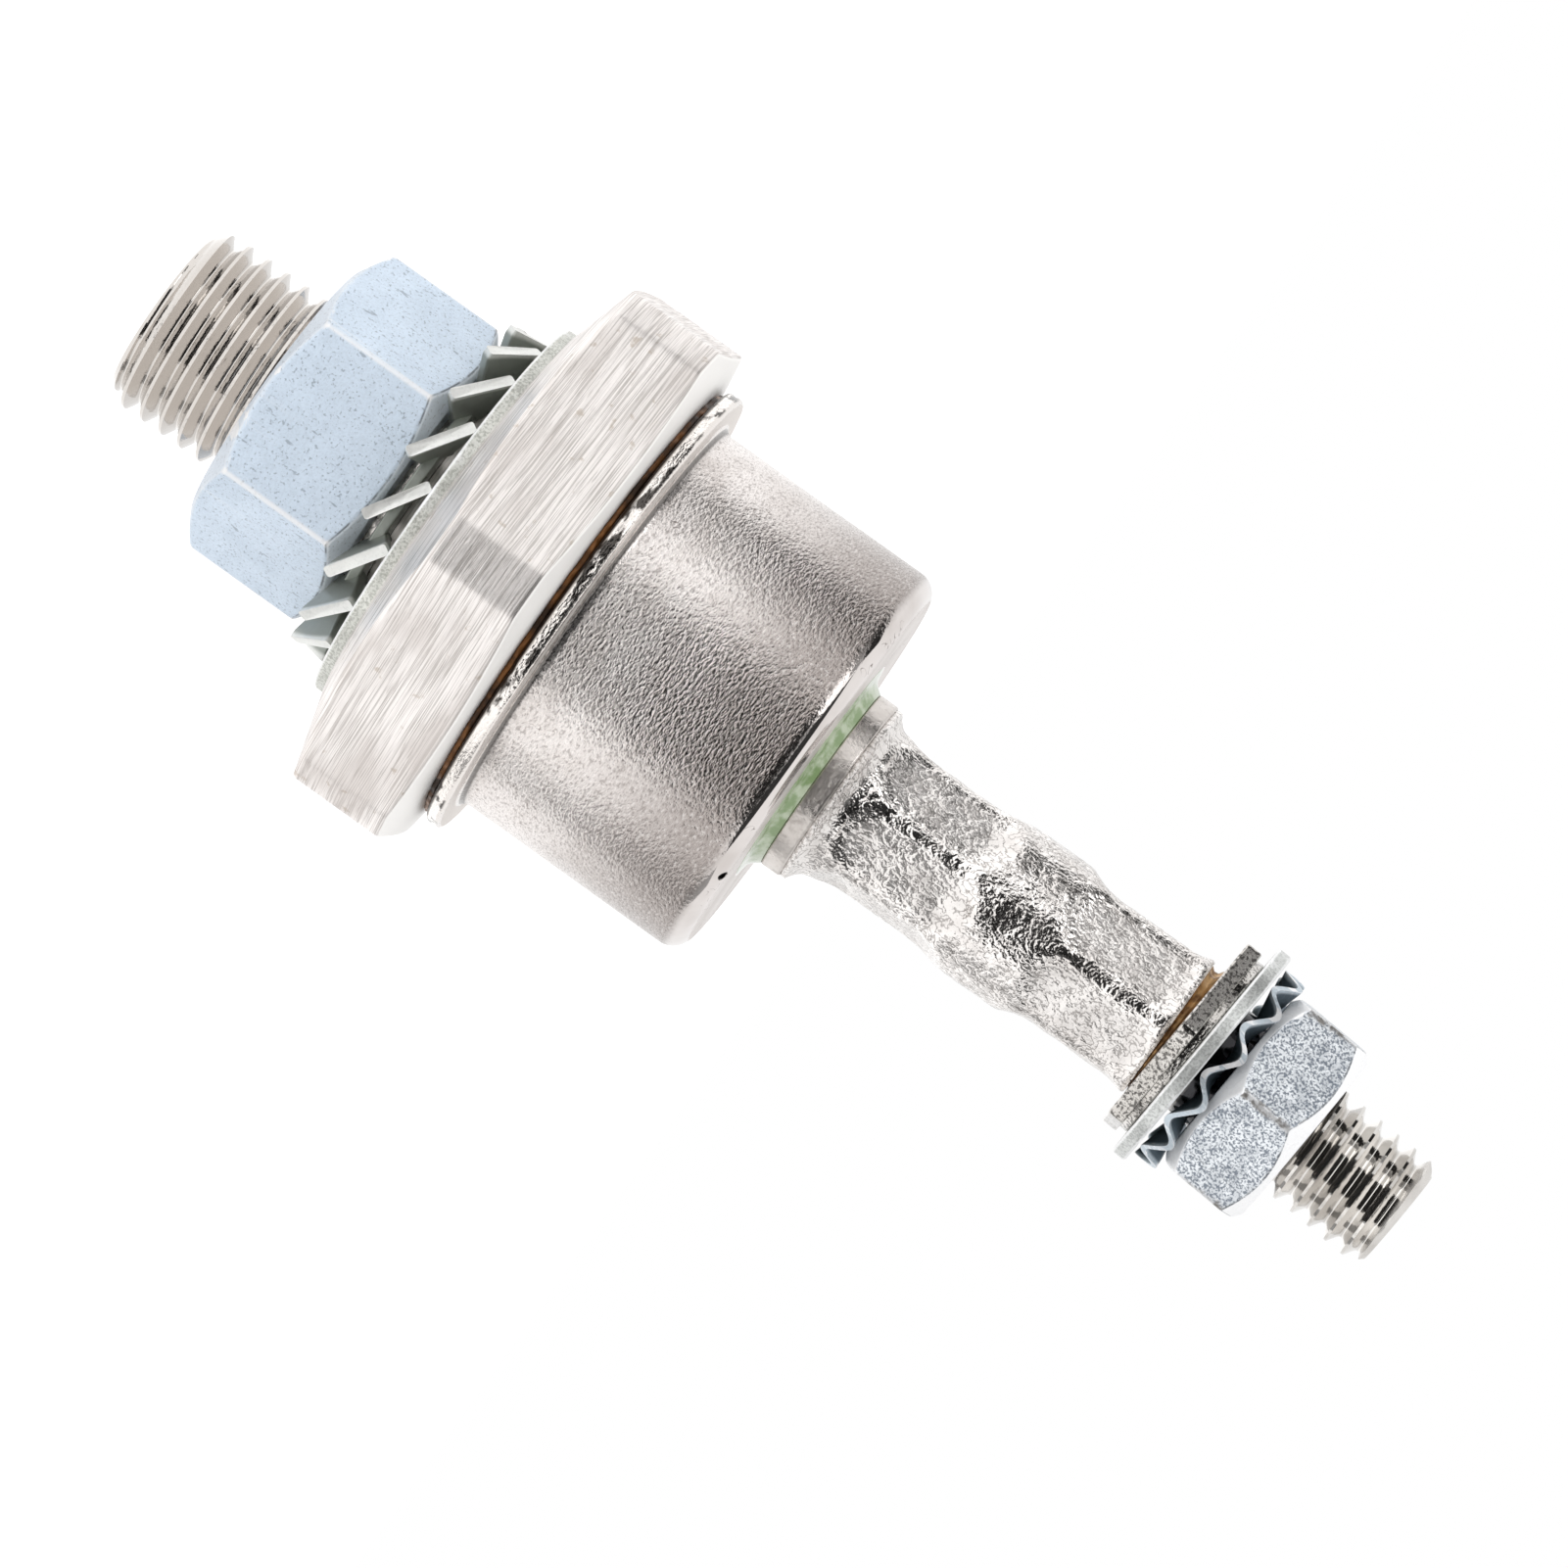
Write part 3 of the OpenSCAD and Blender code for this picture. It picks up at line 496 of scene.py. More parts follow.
class Mat:
    """A node material with a few short ways to add noise, ramps, mixes and bump."""

    def __init__(self, name, colour, metallic, roughness):
        self.mat = bpy.data.materials.new(name)
        self.mat.use_nodes = True
        self.nodes = self.mat.node_tree.nodes
        self.links = self.mat.node_tree.links
        self.shader = self.nodes["Principled BSDF"]
        self.shader.inputs["Base Color"].default_value = colour
        self.shader.inputs["Metallic"].default_value = metallic
        self.shader.inputs["Roughness"].default_value = roughness
        self.coords = self.nodes.new("ShaderNodeTexCoord").outputs["Object"]
        self.normal = None

    def noise(self, size, stretch=(1, 1, 1), detail=2, shift=0):
        """Noise with lumps of the given size, drawn out along an axis where stretch is small."""
        place = self.nodes.new("ShaderNodeMapping")
        place.inputs["Scale"].default_value = [s / (size * MM) for s in stretch]
        place.inputs["Location"].default_value = (shift, shift * 1.7, shift * 0.6)
        tex = self.nodes.new("ShaderNodeTexNoise")
        tex.inputs["Scale"].default_value = 1
        tex.inputs["Detail"].default_value = detail
        self.links.new(self.coords, place.inputs["Vector"])
        self.links.new(place.outputs["Vector"], tex.inputs["Vector"])
        return tex.outputs["Fac"]

    def along(self, low, high):
        """0 to 1 between two heights of the CAD frame."""
        split = self.nodes.new("ShaderNodeSeparateXYZ")
        self.links.new(self.coords, split.inputs["Vector"])
        return self.span(split.outputs["Z"], low * MM, high * MM)

    def span(self, value, low, high, start=0, end=1):
        """Smooth change from start to end as the value goes from low to high."""
        node = self.nodes.new("ShaderNodeMapRange")
        node.interpolation_type = "SMOOTHSTEP"
        for key, number in (("From Min", low), ("From Max", high), ("To Min", start), ("To Max", end)):
            node.inputs[key].default_value = number
        self.links.new(value, node.inputs["Value"])
        return node.outputs["Result"]

    def maths(self, kind, a, b):
        node = self.nodes.new("ShaderNodeMath")
        node.operation = kind
        for socket, value in zip(node.inputs, (a, b)):
            if isinstance(value, (int, float)):
                socket.default_value = value
            else:
                self.links.new(value, socket)
        return node.outputs["Value"]

    def mix(self, factor, a, b):
        """Colour a where the factor is 0, b where it is 1; each a colour or a socket."""
        node = self.nodes.new("ShaderNodeMix")
        node.data_type = "RGBA"
        self.links.new(factor, node.inputs[0])
        for socket, value in ((node.inputs[6], a), (node.inputs[7], b)):
            if isinstance(value, tuple):
                socket.default_value = value
            else:
                self.links.new(value, socket)
        return node.outputs[2]

    def near(self, point, inner, outer):
        """1 within the inner distance of a point of the CAD frame, falling to 0 at the outer one."""
        node = self.nodes.new("ShaderNodeVectorMath")
        node.operation = "DISTANCE"
        node.inputs[1].default_value = [v * MM for v in point]
        self.links.new(self.coords, node.inputs[0])
        return self.span(node.outputs["Value"], inner * MM, outer * MM, 1, 0)

    def radius(self, low, high, centre=0):
        """0 to 1 between two distances from an upright line at x = centre."""
        place = self.nodes.new("ShaderNodeMapping")
        place.inputs["Scale"].default_value = (1, 1, 0)
        place.inputs["Location"].default_value = (-centre * MM, 0, 0)
        node = self.nodes.new("ShaderNodeVectorMath")
        node.operation = "LENGTH"
        self.links.new(self.coords, place.inputs["Vector"])
        self.links.new(place.outputs["Vector"], node.inputs[0])
        return self.span(node.outputs["Value"], low * MM, high * MM)

    def edges(self, low, high):
        """0 on flat faces, rising to 1 on convex edges."""
        return self.span(self.nodes.new("ShaderNodeNewGeometry").outputs["Pointiness"], low, high)

    def ends(self, low, high):
        """0 on faces along the axis, rising to 1 on faces across it."""
        split = self.nodes.new("ShaderNodeSeparateXYZ")
        self.links.new(self.nodes.new("ShaderNodeNewGeometry").outputs["Normal"], split.inputs["Vector"])
        return self.span(self.maths("ABSOLUTE", split.outputs["Z"], 0), low, high)

    def creases(self, value):
        """Distance of a noise from its middle value, which is 0 along winding lines."""
        return self.maths("ABSOLUTE", self.maths("SUBTRACT", value, 0.5), 0)

    def scratches(self, size, width, cover, shift):
        """Thin winding lines in scattered places."""
        lines = self.creases(self.noise(size, (1, 1, 1), 1, shift))
        places = self.span(self.noise(size * 2.1, (1, 1, 1), 2, shift + 5), cover, cover + 0.05)
        return self.maths("MULTIPLY", self.span(lines, width * 0.4, width, 1, 0), places)

    def bump(self, height, depth, strength=1.0):
        """Adds a bump on top of those before it."""
        node = self.nodes.new("ShaderNodeBump")
        if isinstance(strength, float):
            node.inputs["Strength"].default_value = strength
        else:
            self.links.new(strength, node.inputs["Strength"])
        node.inputs["Distance"].default_value = depth * MM
        self.links.new(height, node.inputs["Height"])
        if self.normal:
            self.links.new(self.normal, node.inputs["Normal"])
        self.normal = node.outputs["Normal"]
        self.links.new(self.normal, self.shader.inputs["Normal"])

    def feed(self, key, socket):
        self.links.new(socket, self.shader.inputs[key])


def brushed_nickel():
    """Brushed on the hex, with a painted highlight on its upper bevel, bright and darker on the threaded
    stud.
    """
    m = Mat("base_nickel", rgb(240, 233, 229), 1, 0.4)
    bright = 0.12
    hexa = m.along(-2, -1)
    lines = m.noise(0.055, (0.014, 0.014, 1), 3)
    broad = m.noise(2.5, (0.5, 0.5, 1), 3, 4)
    dashes = m.span(m.noise(0.09, (0.05, 0.05, 1), 3, 12), 0.6, 0.7, 0, 0.45)
    tone = m.mix(m.span(lines, 0.36, 0.58), rgb(196, 190, 186), rgb(246, 241, 238))
    tone = m.mix(m.span(broad, 0.45, 0.7, 0, 0.5), tone, rgb(214, 206, 201))
    tone = m.mix(dashes, tone, rgb(168, 160, 154))
    stain = m.span(m.noise(0.7, (1, 1, 1), 5, 9), 0.64, 0.74, 0, 0.5)
    tone = m.mix(stain, tone, rgb(176, 160, 142))
    # Painted highlight: the upper bevel is painted near-white and made nearly non-metallic so that it
    # stays bright.
    top = m.maths("MULTIPLY", m.along(BASE_TOP - 1.2, BASE_TOP - 0.9), m.ends(0.5, 0.8))
    heat = m.maths("MULTIPLY", m.radius(BASE_TOP_R + 0.8, BASE_TOP_R + 0.1),
                   m.span(broad, 0.5, 0.7, 0, 0.5))
    tone = m.mix(top, tone, rgb(254, 252, 249))
    tone = m.mix(m.maths("MULTIPLY", top, heat), tone, rgb(150, 112, 70))
    m.feed("Metallic", m.span(top, 0, 1, 1, 0.03))
    m.feed("Base Color", m.mix(hexa, rgb(204, 199, 194), tone))
    brushed = m.span(broad, 0.3, 0.7, 0.36, 0.5)
    rougher = m.maths("MULTIPLY", hexa, m.maths("SUBTRACT", brushed, bright))
    m.feed("Roughness", m.maths("ADD", bright, rougher))
    m.bump(lines, 0.009, hexa)
    m.bump(m.noise(1.2, (1, 1, 1), 3, 2), 0.03)
    m.bump(m.noise(0.35, (1, 1, 1), 3, 14), 0.012)
    return m.mat


def satin_nickel():
    """Fine orange peel on the can's wall with a painted dark reflection towards the shoulder, a smooth
    shoulder, a mottled rim and a black pit.
    """
    m = Mat("can_nickel", rgb(222, 215, 210), 1, 0.26)
    peel = m.noise(0.15, (0.65, 0.65, 1.1), 2)
    fine = m.noise(0.11, (0.6, 0.6, 1.2), 2, 6)
    broad = m.noise(3.2, (1, 1, 1.4), 3, 2)
    mottle = m.noise(0.9, (0.55, 0.55, 1.6), 4, 21)
    rim = m.along(FLANGE_HIGH + 0.3, FLANGE_HIGH + 0.05)
    wall = m.along(CAN_TOP - 0.45 * SHOULDER, CAN_TOP - 0.95 * SHOULDER)
    turn = math.radians(PIT_TURN)
    pit_spot = (PIT_R * math.cos(turn), PIT_R * math.sin(turn), PIT_Z)
    pit = m.near(pit_spot, 0.85 * PIT_SIZE, 1.05 * PIT_SIZE)
    tone = m.mix(m.span(broad, 0.35, 0.7), rgb(230, 224, 221), rgb(214, 207, 203))
    # Painted reflection: the upper wall is painted darker towards the shoulder.
    upper = m.mix(wall, tone, rgb(166, 158, 154))
    tone = m.mix(m.along(FLANGE_HIGH + 2, CAN_TOP - SHOULDER), tone, upper)
    grain = m.maths("MULTIPLY", m.span(peel, 0.53, 0.66, 0, 0.45), wall)
    tone = m.mix(grain, tone, rgb(124, 116, 112))
    ridges = m.maths("MULTIPLY", m.span(peel, 0.32, 0.44, 0.3, 0), wall)
    tone = m.mix(ridges, tone, rgb(244, 240, 237))
    tone = m.mix(m.scratches(0.6, 0.012, 0.6, 31), tone, rgb(150, 142, 138))
    tone = m.mix(rim, tone, rgb(240, 234, 229))
    side = m.along(FLANGE_HIGH - 0.08, FLANGE_HIGH - 0.2)
    tone = m.mix(m.maths("MULTIPLY", side, m.span(mottle, 0.52, 0.6, 0, 0.92)), tone, rgb(34, 28, 23))
    # Painted shade: a dark line in the fillet between the flange and the wall.
    line = m.maths("MULTIPLY", m.along(FLANGE_HIGH + 0.06, FLANGE_HIGH + 0.12),
                   m.along(FLANGE_HIGH + 0.36, FLANGE_HIGH + 0.24))
    tone = m.mix(m.maths("MULTIPLY", line, 0.75), tone, rgb(52, 47, 43))
    tone = m.mix(m.along(FLANGE_LOW + 0.22, FLANGE_LOW + 0.08), tone, rgb(46, 32, 20))
    m.feed("Base Color", m.mix(pit, tone, (0.003, 0.003, 0.003, 1)))
    satin = m.maths("MULTIPLY", wall, m.span(fine, 0.3, 0.7, 0.1, 0.2))
    soft = m.span(m.along(FLANGE_HIGH + 7, FLANGE_HIGH + 0.5), 0, 1, 0.07, 0.12)
    gloss = m.maths("SUBTRACT", m.maths("ADD", satin, soft), m.maths("MULTIPLY", rim, 0.14))
    flat = m.ends(0.94, 0.99)
    m.feed("Metallic", m.span(flat, 0, 1, 1, 0.6))
    m.feed("Roughness", m.maths("ADD", gloss, m.maths("MULTIPLY", flat, 0.35)))
    rise = m.span(m.along(FLANGE_HIGH, CAN_TOP - SHOULDER), 0, 1, 0.6, 1)
    m.bump(peel, 0.05, m.maths("MULTIPLY", wall, rise))
    m.bump(fine, 0.012, wall)
    m.bump(mottle, 0.06, rim)
    return m.mat


def zinc(name, colour, dark, metallic, roughness, speckle, grain=0.1, rim=None, painted_sheen=0, edge=1,
         wear_and_painted_reflection=None, corner=None):
    """Zinc or tin plate, spotted with its dark tone by speckle and grain.

    rim and corner hold what radius() takes, worn what along() takes. It has painted shade inside rim, is
    darker in dabs beyond corner, and has a painted dark reflection beside the chamfers where worn rises.
    Faces across the axis get a painted highlight by shine, and edges get a painted highlight by edge.
    """
    painted_highlight = rgb(252, 252, 253)
    m = Mat(name, colour, metallic, roughness)
    spots = m.span(m.noise(0.14, (1, 1, 1), 4, 3), 0.58, 0.66, 0, speckle)
    marks = m.span(m.noise(0.4, (1, 1, 0.35), 4, 13), 0.67, 0.71, 0, speckle)
    cloud = m.noise(2.2, (1, 1, 1), 3, 8)
    tone = m.mix(m.span(cloud, 0.3, 0.7, 0, 0.6), colour, tuple(0.92 * c for c in colour[:3]) + (1,))
    tone = m.mix(m.span(m.noise(0.12, (1, 1, 1), 3, 23), 0.45, 0.6, 0, grain), tone, dark)
    tone = m.mix(m.span(m.noise(0.9, (1, 1, 1), 3, 33), 0.42, 0.62, 0, 0.35 * grain), tone, dark)
    tone = m.mix(m.maths("MAXIMUM", spots, marks), tone, dark)
    # Painted highlight: faces across the axis are painted pale by shine, and made less metallic below.
    tone = m.mix(m.maths("MULTIPLY", m.ends(0.4, 0.6), painted_sheen), tone, painted_highlight)
    # Painted highlight: convex edges are painted pale by edge.
    tone = m.mix(m.maths("MULTIPLY", m.edges(0.51, 0.54), edge), tone, painted_highlight)
    if wear_and_painted_reflection:
        # Painted dark reflection: a patchy band where the flats turn into the chamfers, rising between
        # the heights in worn.
        line = m.maths("SUBTRACT", m.ends(0.1, 0.3), m.ends(0.35, 0.6))
        patches = m.span(m.noise(0.8, (1, 1, 1), 3, 41), 0.35, 0.6, 0, 0.8)
        painted_dark_reflection = m.maths("MULTIPLY", m.along(*wear_and_painted_reflection), patches)
        tone = m.mix(m.maths("MULTIPLY", line, painted_dark_reflection), tone, rgb(84, 88, 92))
    if corner:
        dabs = m.span(m.noise(0.32, (1, 1, 0.8), 4, 51), 0.44, 0.6, 0.25, 1)
        corner_dabs = m.maths("MULTIPLY", m.radius(*corner), dabs)
        tone = m.mix(m.maths("MULTIPLY", corner_dabs, m.ends(0.3, 0.15)), tone, rgb(132, 129, 126))
    # Painted shade: the plate is painted dark inside rim, deep between the lock washer's teeth and under
    # the terminal nut.
    if rim:
        tone = m.mix(m.radius(*rim), dark, tone)
    m.feed("Base Color", tone)
    m.feed("Metallic", m.span(m.maths("MULTIPLY", m.ends(0.4, 0.6), painted_sheen), 0, 1, metallic, 0.05))
    m.feed("Roughness", m.span(cloud, 0.3, 0.7, roughness - 0.06, roughness + 0.08))
    m.bump(m.noise(0.3, (1, 1, 1), 4, 1), 0.02)
    m.bump(m.noise(1.3, (1, 1, 1), 2, 5), 0.03)
    return m.mat


def plated(name, colour, dark, roughness, grain, depth, patch):
    """Plate over a rough surface, with darker patches."""
    m = Mat(name, colour, 1, roughness)
    rough = m.noise(grain, (1, 1, 1), 4, 2)
    cloud = m.noise(grain * 6, (1, 1, 1), 3, 7)
    both = m.maths("MULTIPLY", m.maths("ADD", rough, cloud), 0.5)
    m.feed("Base Color", m.mix(m.span(both, 0.52, 0.66, 0, patch), colour, dark))
    m.feed("Roughness", m.span(cloud, 0.3, 0.7, roughness * 0.75, roughness * 1.3))
    m.bump(rough, depth)
    return m.mat


def crinkled_nickel():
    """Bright plate over a surface crinkled by the crimping tool, with painted shade along the creases.
    """
    m = Mat("sleeve_nickel", rgb(231, 228, 226), 1, 0.16)
    folds = m.creases(m.noise(0.42, (1, 1, 0.8), 2, 2))
    fine = m.noise(0.14, (1, 1, 1), 2, 11)
    cloud = m.noise(1.6, (1, 1, 1), 3, 7)
    flats = m.maths("MAXIMUM", m.radius(RIDGE_R - 0.04, 0.5 * UPPER_AF + 0.12),
                    m.radius(SLEEVE_R + 0.05, SLEEVE_R + 0.3))
    tone = m.mix(m.span(cloud, 0.45, 0.65, 0, 0.4), rgb(236, 232, 229), rgb(196, 190, 186))
    # Painted shade: dark along the creases of the folds.
    m.feed("Base Color", m.mix(m.span(folds, 0.005, 0.04, 0.6, 0), tone, rgb(104, 98, 94)))
    m.feed("Metallic", m.span(flats, 0, 1, 1, 0.75))
    polish = m.span(cloud, 0.3, 0.7, 0.11, 0.19)
    m.feed("Roughness", m.maths("ADD", polish, m.maths("MULTIPLY", flats, 0.09)))
    m.bump(folds, 0.13)
    m.bump(fine, 0.02)
    return m.mat


def bright_nickel():
    """Bright plate, mottled on the hex flange, and painted dark as shade on the stud between the washer
    and the nut.
    """
    m = Mat("bright_nickel", rgb(222, 218, 213), 1, 0.09)
    cloud = m.noise(3, (1, 1, 1), 3, 7)
    mottle = m.noise(0.16, (1, 1, 1), 3, 27)
    flange = m.along(TERM_FOOT + TERM_WASHER_TOP, TERM_FOOT + HEX_T)
    # Painted shade: the stud is painted dark between the washer and the nut.
    gap_shade = m.maths("MULTIPLY", m.along(TERM_FOOT + HEX_T + 0.4, TERM_FOOT + TERM_WASHER_TOP),
                  m.along(TERM_FOOT + TERM_NUT_LOW + 0.6, TERM_FOOT + TERM_NUT_LOW + 0.2))
    tone = m.mix(m.span(cloud, 0.35, 0.65), rgb(224, 221, 217), rgb(200, 196, 191))
    tone = m.mix(m.maths("MULTIPLY", flange, m.span(mottle, 0.51, 0.58, 0, 0.75)), tone, rgb(48, 45, 43))
    m.feed("Base Color", m.mix(gap_shade, tone, rgb(58, 58, 60)))
    tip_from = TERM_FOOT + TERM_END - TERM_CHAMFER
    tip = m.along(tip_from - 0.15, tip_from + 0.1)
    m.feed("Metallic", m.span(tip, 0, 1, 1, 0.6))
    wear_and_painted_reflection = m.maths("ADD", m.maths("MULTIPLY", flange, 0.02), m.maths("MULTIPLY", tip, 0.25))
    m.feed("Roughness", m.maths("ADD", wear_and_painted_reflection, m.span(cloud, 0.3, 0.7, 0.07, 0.12)))
    m.bump(mottle, 0.016, flange)
    m.bump(m.noise(0.5, (1, 1, 1), 4, 2), 0.015)
    return m.mat


def green_glass():
    """Cloudy green glass with a glossy skin."""
    m = Mat("green_glass", rgb(150, 176, 128), 0, 0.12)
    m.shader.inputs["IOR"].default_value = 1.5
    m.shader.inputs["Coat Weight"].default_value = 0.6
    cloud = m.noise(0.7, (1, 1, 1), 4)
    m.feed("Base Color", m.mix(m.span(cloud, 0.38, 0.62), rgb(128, 152, 106), rgb(182, 194, 168)))
    return m.mat


def tinted(name, colour, other, metallic, roughness, size):
    """Clouds of two colours."""
    m = Mat(name, colour, metallic, roughness)
    cloud = m.noise(size, (1, 1, 1), 4)
    m.feed("Base Color", m.mix(m.span(cloud, 0.38, 0.62), colour, other))
    m.feed("Roughness", m.span(cloud, 0.3, 0.7, roughness * 0.8, roughness * 1.2))
    m.bump(cloud, 0.04)
    return m.mat


def strands():
    """Copper wires along the axis."""
    m = Mat("copper_strand", rgb(196, 128, 92), 1, 0.35)
    wires = m.noise(0.4, (1, 1, 0.1), 2)
    m.feed("Base Color", m.mix(m.span(wires, 0.35, 0.65), rgb(150, 92, 62), rgb(214, 150, 112)))
    m.bump(wires, 0.1)
    return m.mat


def dress_all():
    nut_r = STUD_R - THREAD_CUT * STUD_PITCH + THREAD_GAP
    term_nut_r = TERM_R - THREAD_CUT * TERM_PITCH + THREAD_GAP
    # x of the leaning axis at the nut and at the wavy washer
    nut_lean, wave_lean = 0.42, 0.2
    dress(build_stud_base(), "stud_base", brushed_nickel())
    dress(build_ring("stud_washer_look", WASHER_R, WASHER_BORE, -WASHER_T, 0, WASHER_EDGE),
          "stud_washer",
          zinc("washer_tin", rgb(228, 229, 223), rgb(146, 148, 138), 0.6, 0.4, 0.4, 0.5))
    # Lock washer: painted shade inside the tooth tips, and a weaker painted highlight on edges.
    dress(build_lock_washer(), "stud_lock_washer",
          zinc("lock_tin", rgb(234, 235, 229), rgb(160, 164, 157), 0.55, 0.38, 0.25, 0.1,
               (TOOTH_R - 0.4, TOOTH_R - 0.15), edge=0.35))
    # Stud nut: painted highlights on its chamfers and edges, and a painted dark reflection beside the
    # chamfers.
    dress(build_nut("stud_nut_look", NUT_AF, NUT_LOW, NUT_HIGH, NUT_TURN, nut_r, NUT_FACE, NUT_SLOPE),
          "stud_nut",
          zinc("zinc", rgb(220, 234, 249), rgb(146, 158, 170), 0.2, 0.42, 0.7, 0.12, painted_sheen=0.35,
               wear_and_painted_reflection=(NUT_LOW + 2, NUT_HIGH - 2)))
    dress(build_weld_ring(), "weld_ring",
          tinted("weld_tint", rgb(128, 84, 44), rgb(50, 34, 22), 0.6, 0.4, 1.6))
    dress(build_can(), "can", satin_nickel())
    dress(build_glass(), "glass_seal", green_glass())
    dress(build_eyelet(), "eyelet",
          plated("eyelet_metal", rgb(214, 208, 203), rgb(150, 142, 136), roughness=0.3, grain=0.3,
                 depth=0.03, patch=0.4))
    dress(build_sleeve(), "sleeve", crinkled_nickel())
    dress(build_braze(), "sleeve_braze",
          tinted("braze", rgb(196, 158, 108), rgb(128, 94, 60), 0.6, 0.4, 0.5))
    dress(build_terminal_stud(), "terminal_stud", bright_nickel())
    dress(build_ring("terminal_washer_look", TERM_WASHER_R, TERM_BORE, HEX_T, TERM_WASHER_TOP,
                     WASHER_EDGE, TILT),
          "terminal_washer",
          zinc("terminal_washer_tin", rgb(224, 226, 224), rgb(136, 138, 136), 0.7, 0.36, 0.4, 0.4))
    # Wavy washer: painted shade inside its rim, and a painted highlight on edges.
    dress(build_wavy_washer(), "terminal_lock_washer",
          zinc("lock_zinc", rgb(206, 217, 225), rgb(92, 106, 116), 0.7, 0.36, 0.2, 0.1,
               (WAVE_R - 0.3, WAVE_R - 0.1, wave_lean)))
    # Terminal nut: painted highlights on its chamfers and edges, and a painted dark reflection beside
    # the chamfers.
    dress(build_nut("terminal_nut_look", TERM_NUT_AF, TERM_NUT_LOW, TERM_NUT_HIGH, TERM_NUT_TURN,
                    term_nut_r, TERM_NUT_FACE, TERM_NUT_SLOPE, TILT),
          "terminal_nut",
          zinc("terminal_zinc", rgb(244, 248, 252), rgb(98, 108, 122), 0.45, 0.3, 0.6, 0.85, painted_sheen=0.95,
               wear_and_painted_reflection=(TERM_FOOT + TERM_NUT_LOW + 1, TERM_FOOT + TERM_NUT_HIGH - 1),
               corner=(0.56 * TERM_NUT_AF, 0.571 * TERM_NUT_AF, nut_lean)))


def dress_inside():
    solder = tinted("solder", rgb(186, 188, 190), rgb(160, 162, 166), 1, 0.4, 1)
    moly = tinted("molybdenum", rgb(150, 152, 156), rgb(130, 132, 138), 1, 0.35, 1.5)
    finishes = {
        "lower_solder": solder, "upper_solder": solder, "lower_disc": moly, "upper_disc": moly,
        "silicon_die": tinted("silicon", rgb(70, 74, 84), rgb(58, 62, 72), 0.6, 0.2, 2),
        "junction_coating": tinted("silicone", rgb(224, 222, 216), rgb(210, 206, 198), 0, 0.5, 1),
        "contact_cup": tinted("copper", rgb(200, 132, 98), rgb(180, 112, 80), 1, 0.35, 1),
        "inner_lead": strands()}
    for name, mat in finishes.items():
        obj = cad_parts[name]
        obj.data.materials.clear()
        obj.data.materials.append(mat)


# Stage, in metres

FLOOR_Z, FLOOR_SIZE, FLOOR_GLOW = -45 * MM, 4, 0.5
FLAG_DISTANCE, FLAG_HEIGHT, TOP_FLAG_Z, TOP_FLAG_WIDE = 0.5, 0.9, 0.55, 1.2
STAGE_MIDDLE = Vector((0, 0, 0.02))
WORLD_LIGHT = 0.95
# Angle about the axis from the camera and half width, in degrees, and grey of each upright card
FLAGS = {
    "flag_front": (6.5, 38.5, 0.01),
    "flag_left": (-87, 11.5, 0.01),
    "flag_left_soft": (-66, 7.5, 0.35),
    "flag_right": (98, 11, 0.4)}
# Front and back edge, in degrees from straight up, and grey of the card above
TOP_FLAG = (-44, -17, 0.03)
# Angle about the axis, lift, distance, size and watts of each lamp
LAMPS = {
    "key": (-50, 35, 0.7, 0.45, 0.75),
    "fill": (55, 15, 0.8, 0.5, 0.15)}


def plain_plane(name, size_x, size_y, place):
    mesh = bpy.data.meshes.new(name)
    x, y = size_x / 2, size_y / 2
    mesh.from_pydata([(-x, -y, 0), (x, -y, 0), (x, y, 0), (-x, y, 0)], [], [(0, 1, 2, 3)])
    obj = bpy.data.objects.new(name, mesh)
    obj.matrix_world = place
    bpy.context.scene.collection.objects.link(obj)
    return obj


def seen_rays(nodes, links):
    """1 on camera, glossy and transmission rays, else 0."""
    path = nodes.new("ShaderNodeLightPath")
    total = path.outputs["Is Camera Ray"]
    for key in ("Is Glossy Ray", "Is Transmission Ray"):
        node = nodes.new("ShaderNodeMath")
        node.operation = "MAXIMUM"
        links.new(total, node.inputs[0])
        links.new(path.outputs[key], node.inputs[1])
        total = node.outputs["Value"]
    return total


def build_floor():
    """White ground that glows for the camera and the metals."""
    floor = plain_plane("floor", FLOOR_SIZE, FLOOR_SIZE, Matrix.Translation((0, 0, FLOOR_Z)))
    m = Mat("floor_white", (0.8, 0.8, 0.8, 1), 0, 1)
    m.shader.inputs["Specular IOR Level"].default_value = 0
    m.shader.inputs["Emission Color"].default_value = (1, 1, 1, 1)
    m.feed("Emission Strength", m.maths("MULTIPLY", seen_rays(m.nodes, m.links), FLOOR_GLOW))
    floor.data.materials.append(m.mat)


def hide_card(card, grey):
    """Leaves a card to the metals' reflections alone."""
    card.data.materials.append(Mat(card.name + "_grey", (grey, grey, grey, 1), 0, 1).mat)
    card.visible_camera = card.visible_diffuse = card.visible_shadow = card.visible_transmission = False


def build_flag(name, azimuth, half_width, grey):
    """Dark card that only the metals' reflections show, at an angle from the camera about the axis."""
    a = math.radians(azimuth)
    out = Vector((math.sin(a), -math.cos(a), 0))
    side = Vector((math.cos(a), math.sin(a), 0))
    spot = STAGE_MIDDLE + out * FLAG_DISTANCE
    turn = Matrix((side, Vector((0, 0, 1)), out)).transposed().to_4x4()
    wide = 2 * FLAG_DISTANCE * math.tan(math.radians(half_width))
    card = plain_plane(name, wide, FLAG_HEIGHT, Matrix.Translation(spot) @ turn)
    hide_card(card, grey)


def build_top_flag(name, front, back, grey):
    """Dark card above the part, from front to back in degrees from straight up."""
    near, far = (TOP_FLAG_Z * math.tan(math.radians(a)) for a in (front, back))
    place = Matrix.Translation((0, (near + far) / 2, TOP_FLAG_Z))
    card = plain_plane(name, TOP_FLAG_WIDE, far - near, place)
    hide_card(card, grey)


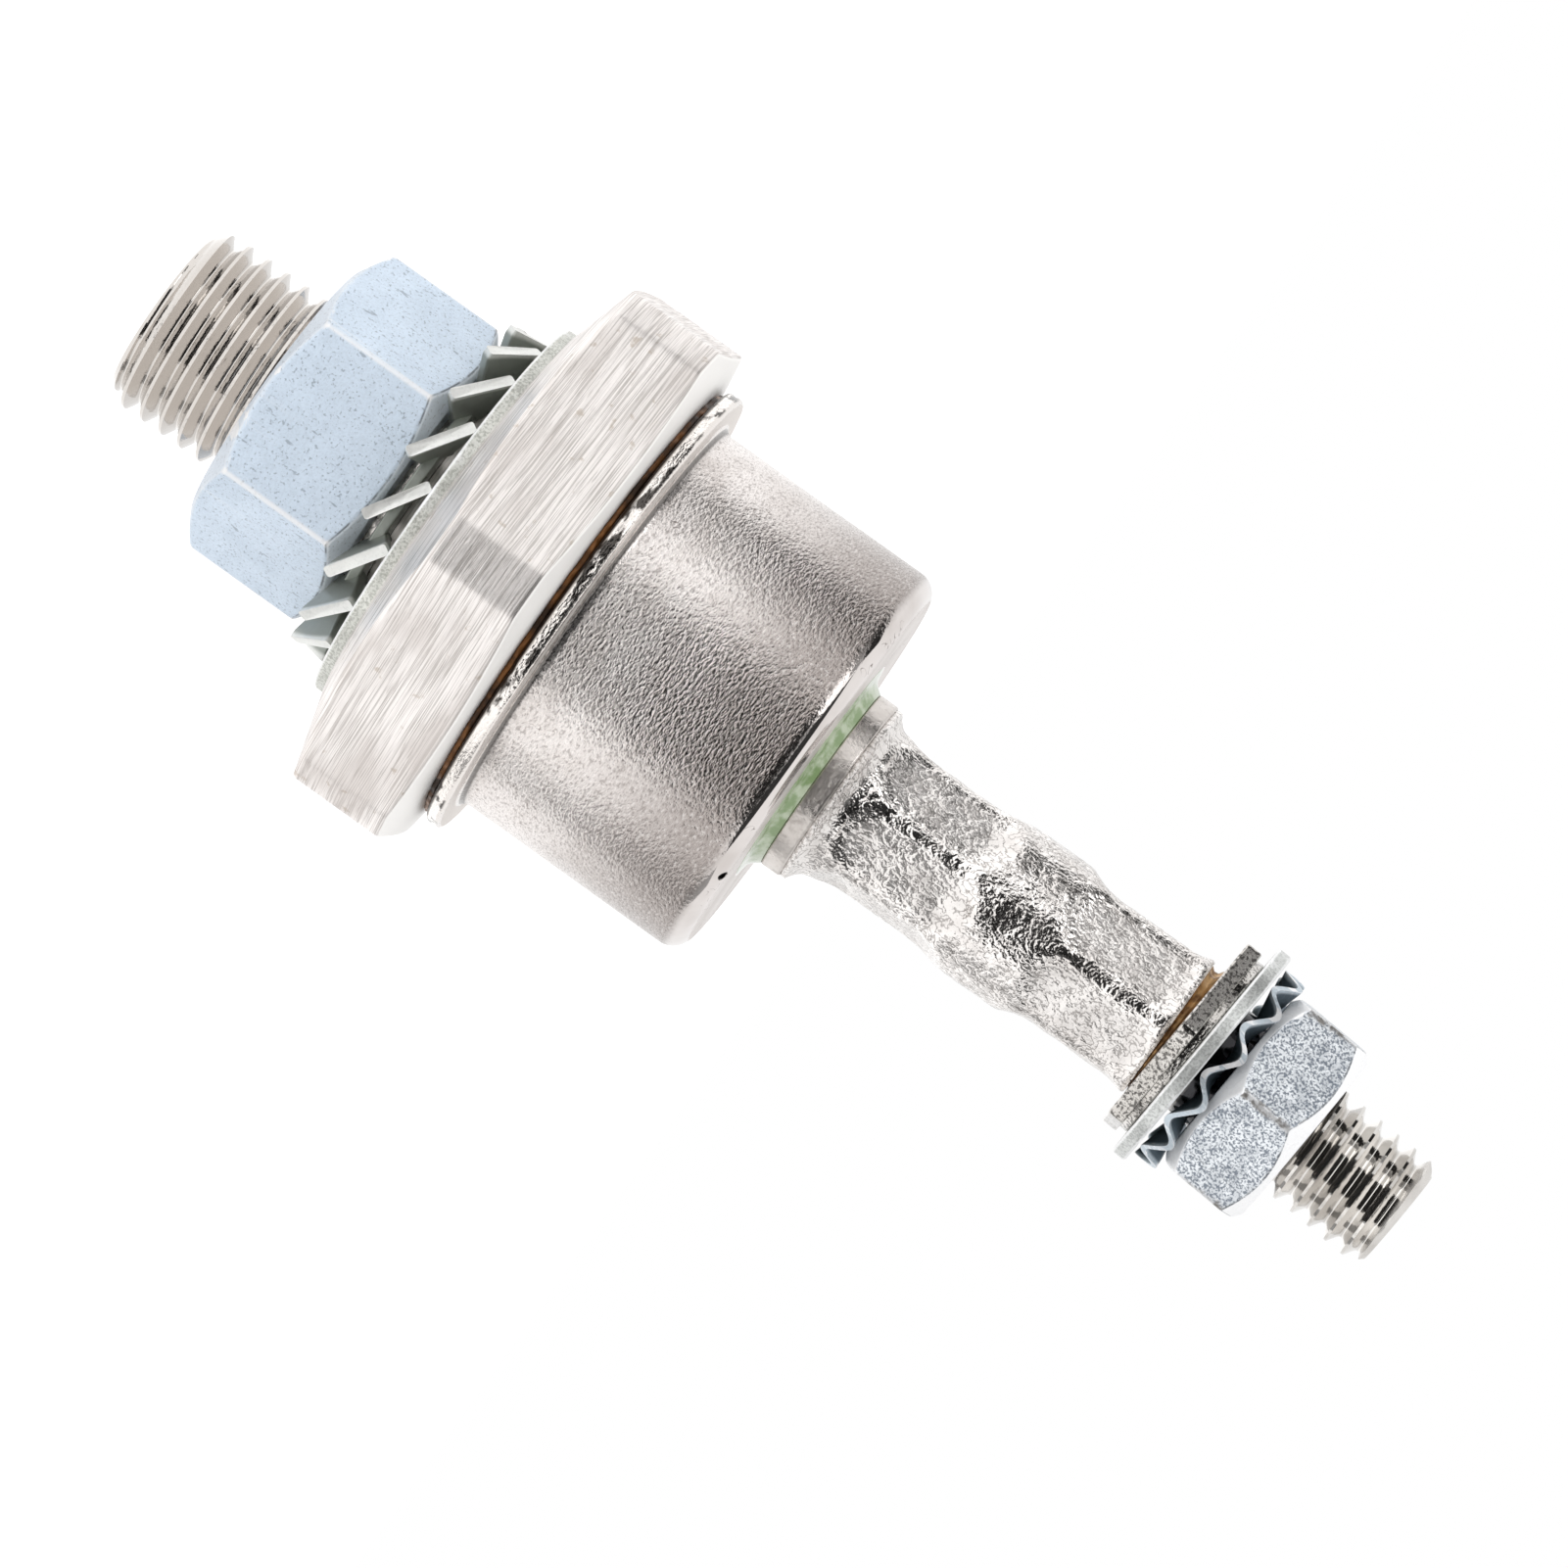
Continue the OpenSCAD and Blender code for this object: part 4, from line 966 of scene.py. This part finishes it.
def build_world():
    """White all round, a little weaker as light on plain surfaces."""
    world = bpy.data.worlds.new("studio")
    bpy.context.scene.world = world
    world.use_nodes = True
    nodes, links = world.node_tree.nodes, world.node_tree.links
    back = nodes["Background"]
    back.inputs["Color"].default_value = (1, 1, 1, 1)
    node = nodes.new("ShaderNodeMapRange")
    node.inputs["To Min"].default_value = WORLD_LIGHT
    node.inputs["To Max"].default_value = 1
    links.new(seen_rays(nodes, links), node.inputs["Value"])
    links.new(node.outputs["Result"], back.inputs["Strength"])


def build_lamp(name, azimuth, lift, distance, size, watts):
    a, e = math.radians(azimuth), math.radians(lift)
    lamp = bpy.data.lights.new(name, "AREA")
    lamp.shape = "DISK"
    lamp.size, lamp.energy = size, watts
    obj = bpy.data.objects.new(name, lamp)
    out = Vector((math.sin(a) * math.cos(e), -math.cos(a) * math.cos(e), math.sin(e)))
    obj.location = STAGE_MIDDLE + out * distance
    obj.rotation_euler = out.to_track_quat("Z", "Y").to_euler()
    bpy.context.scene.collection.objects.link(obj)


def build_camera():
    data = bpy.data.cameras.new("camera")
    data.sensor_width = SENSOR
    data.lens = SENSOR * CAMERA_DISTANCE / (IMAGE_PX / PX_PER_MM)
    data.clip_start, data.clip_end = 0.01, 20
    lift, roll = math.radians(CAMERA_LIFT), math.radians(CAMERA_ROLL)
    x, z = Vector((1, 0, 0)), Vector((0, math.sin(lift), math.cos(lift)))
    right = -math.sin(roll) * x + math.cos(roll) * z
    up = -math.cos(roll) * x - math.sin(roll) * z
    back = right.cross(up)
    cam = bpy.data.objects.new("camera", data)
    turn = Matrix((right, up, back)).transposed().to_4x4()
    cam.matrix_world = Matrix.Translation((TARGET + CAMERA_DISTANCE * back) * MM) @ turn
    bpy.context.scene.collection.objects.link(cam)
    bpy.context.scene.camera = cam


dress_all()
dress_inside()
build_floor()
build_world()
for flag_name, card in FLAGS.items():
    build_flag(flag_name, *card)
build_top_flag("flag_top", *TOP_FLAG)
for lamp_name, lamp in LAMPS.items():
    build_lamp(lamp_name, *lamp)
build_camera()
bpy.context.scene.view_settings.view_transform = "Standard"
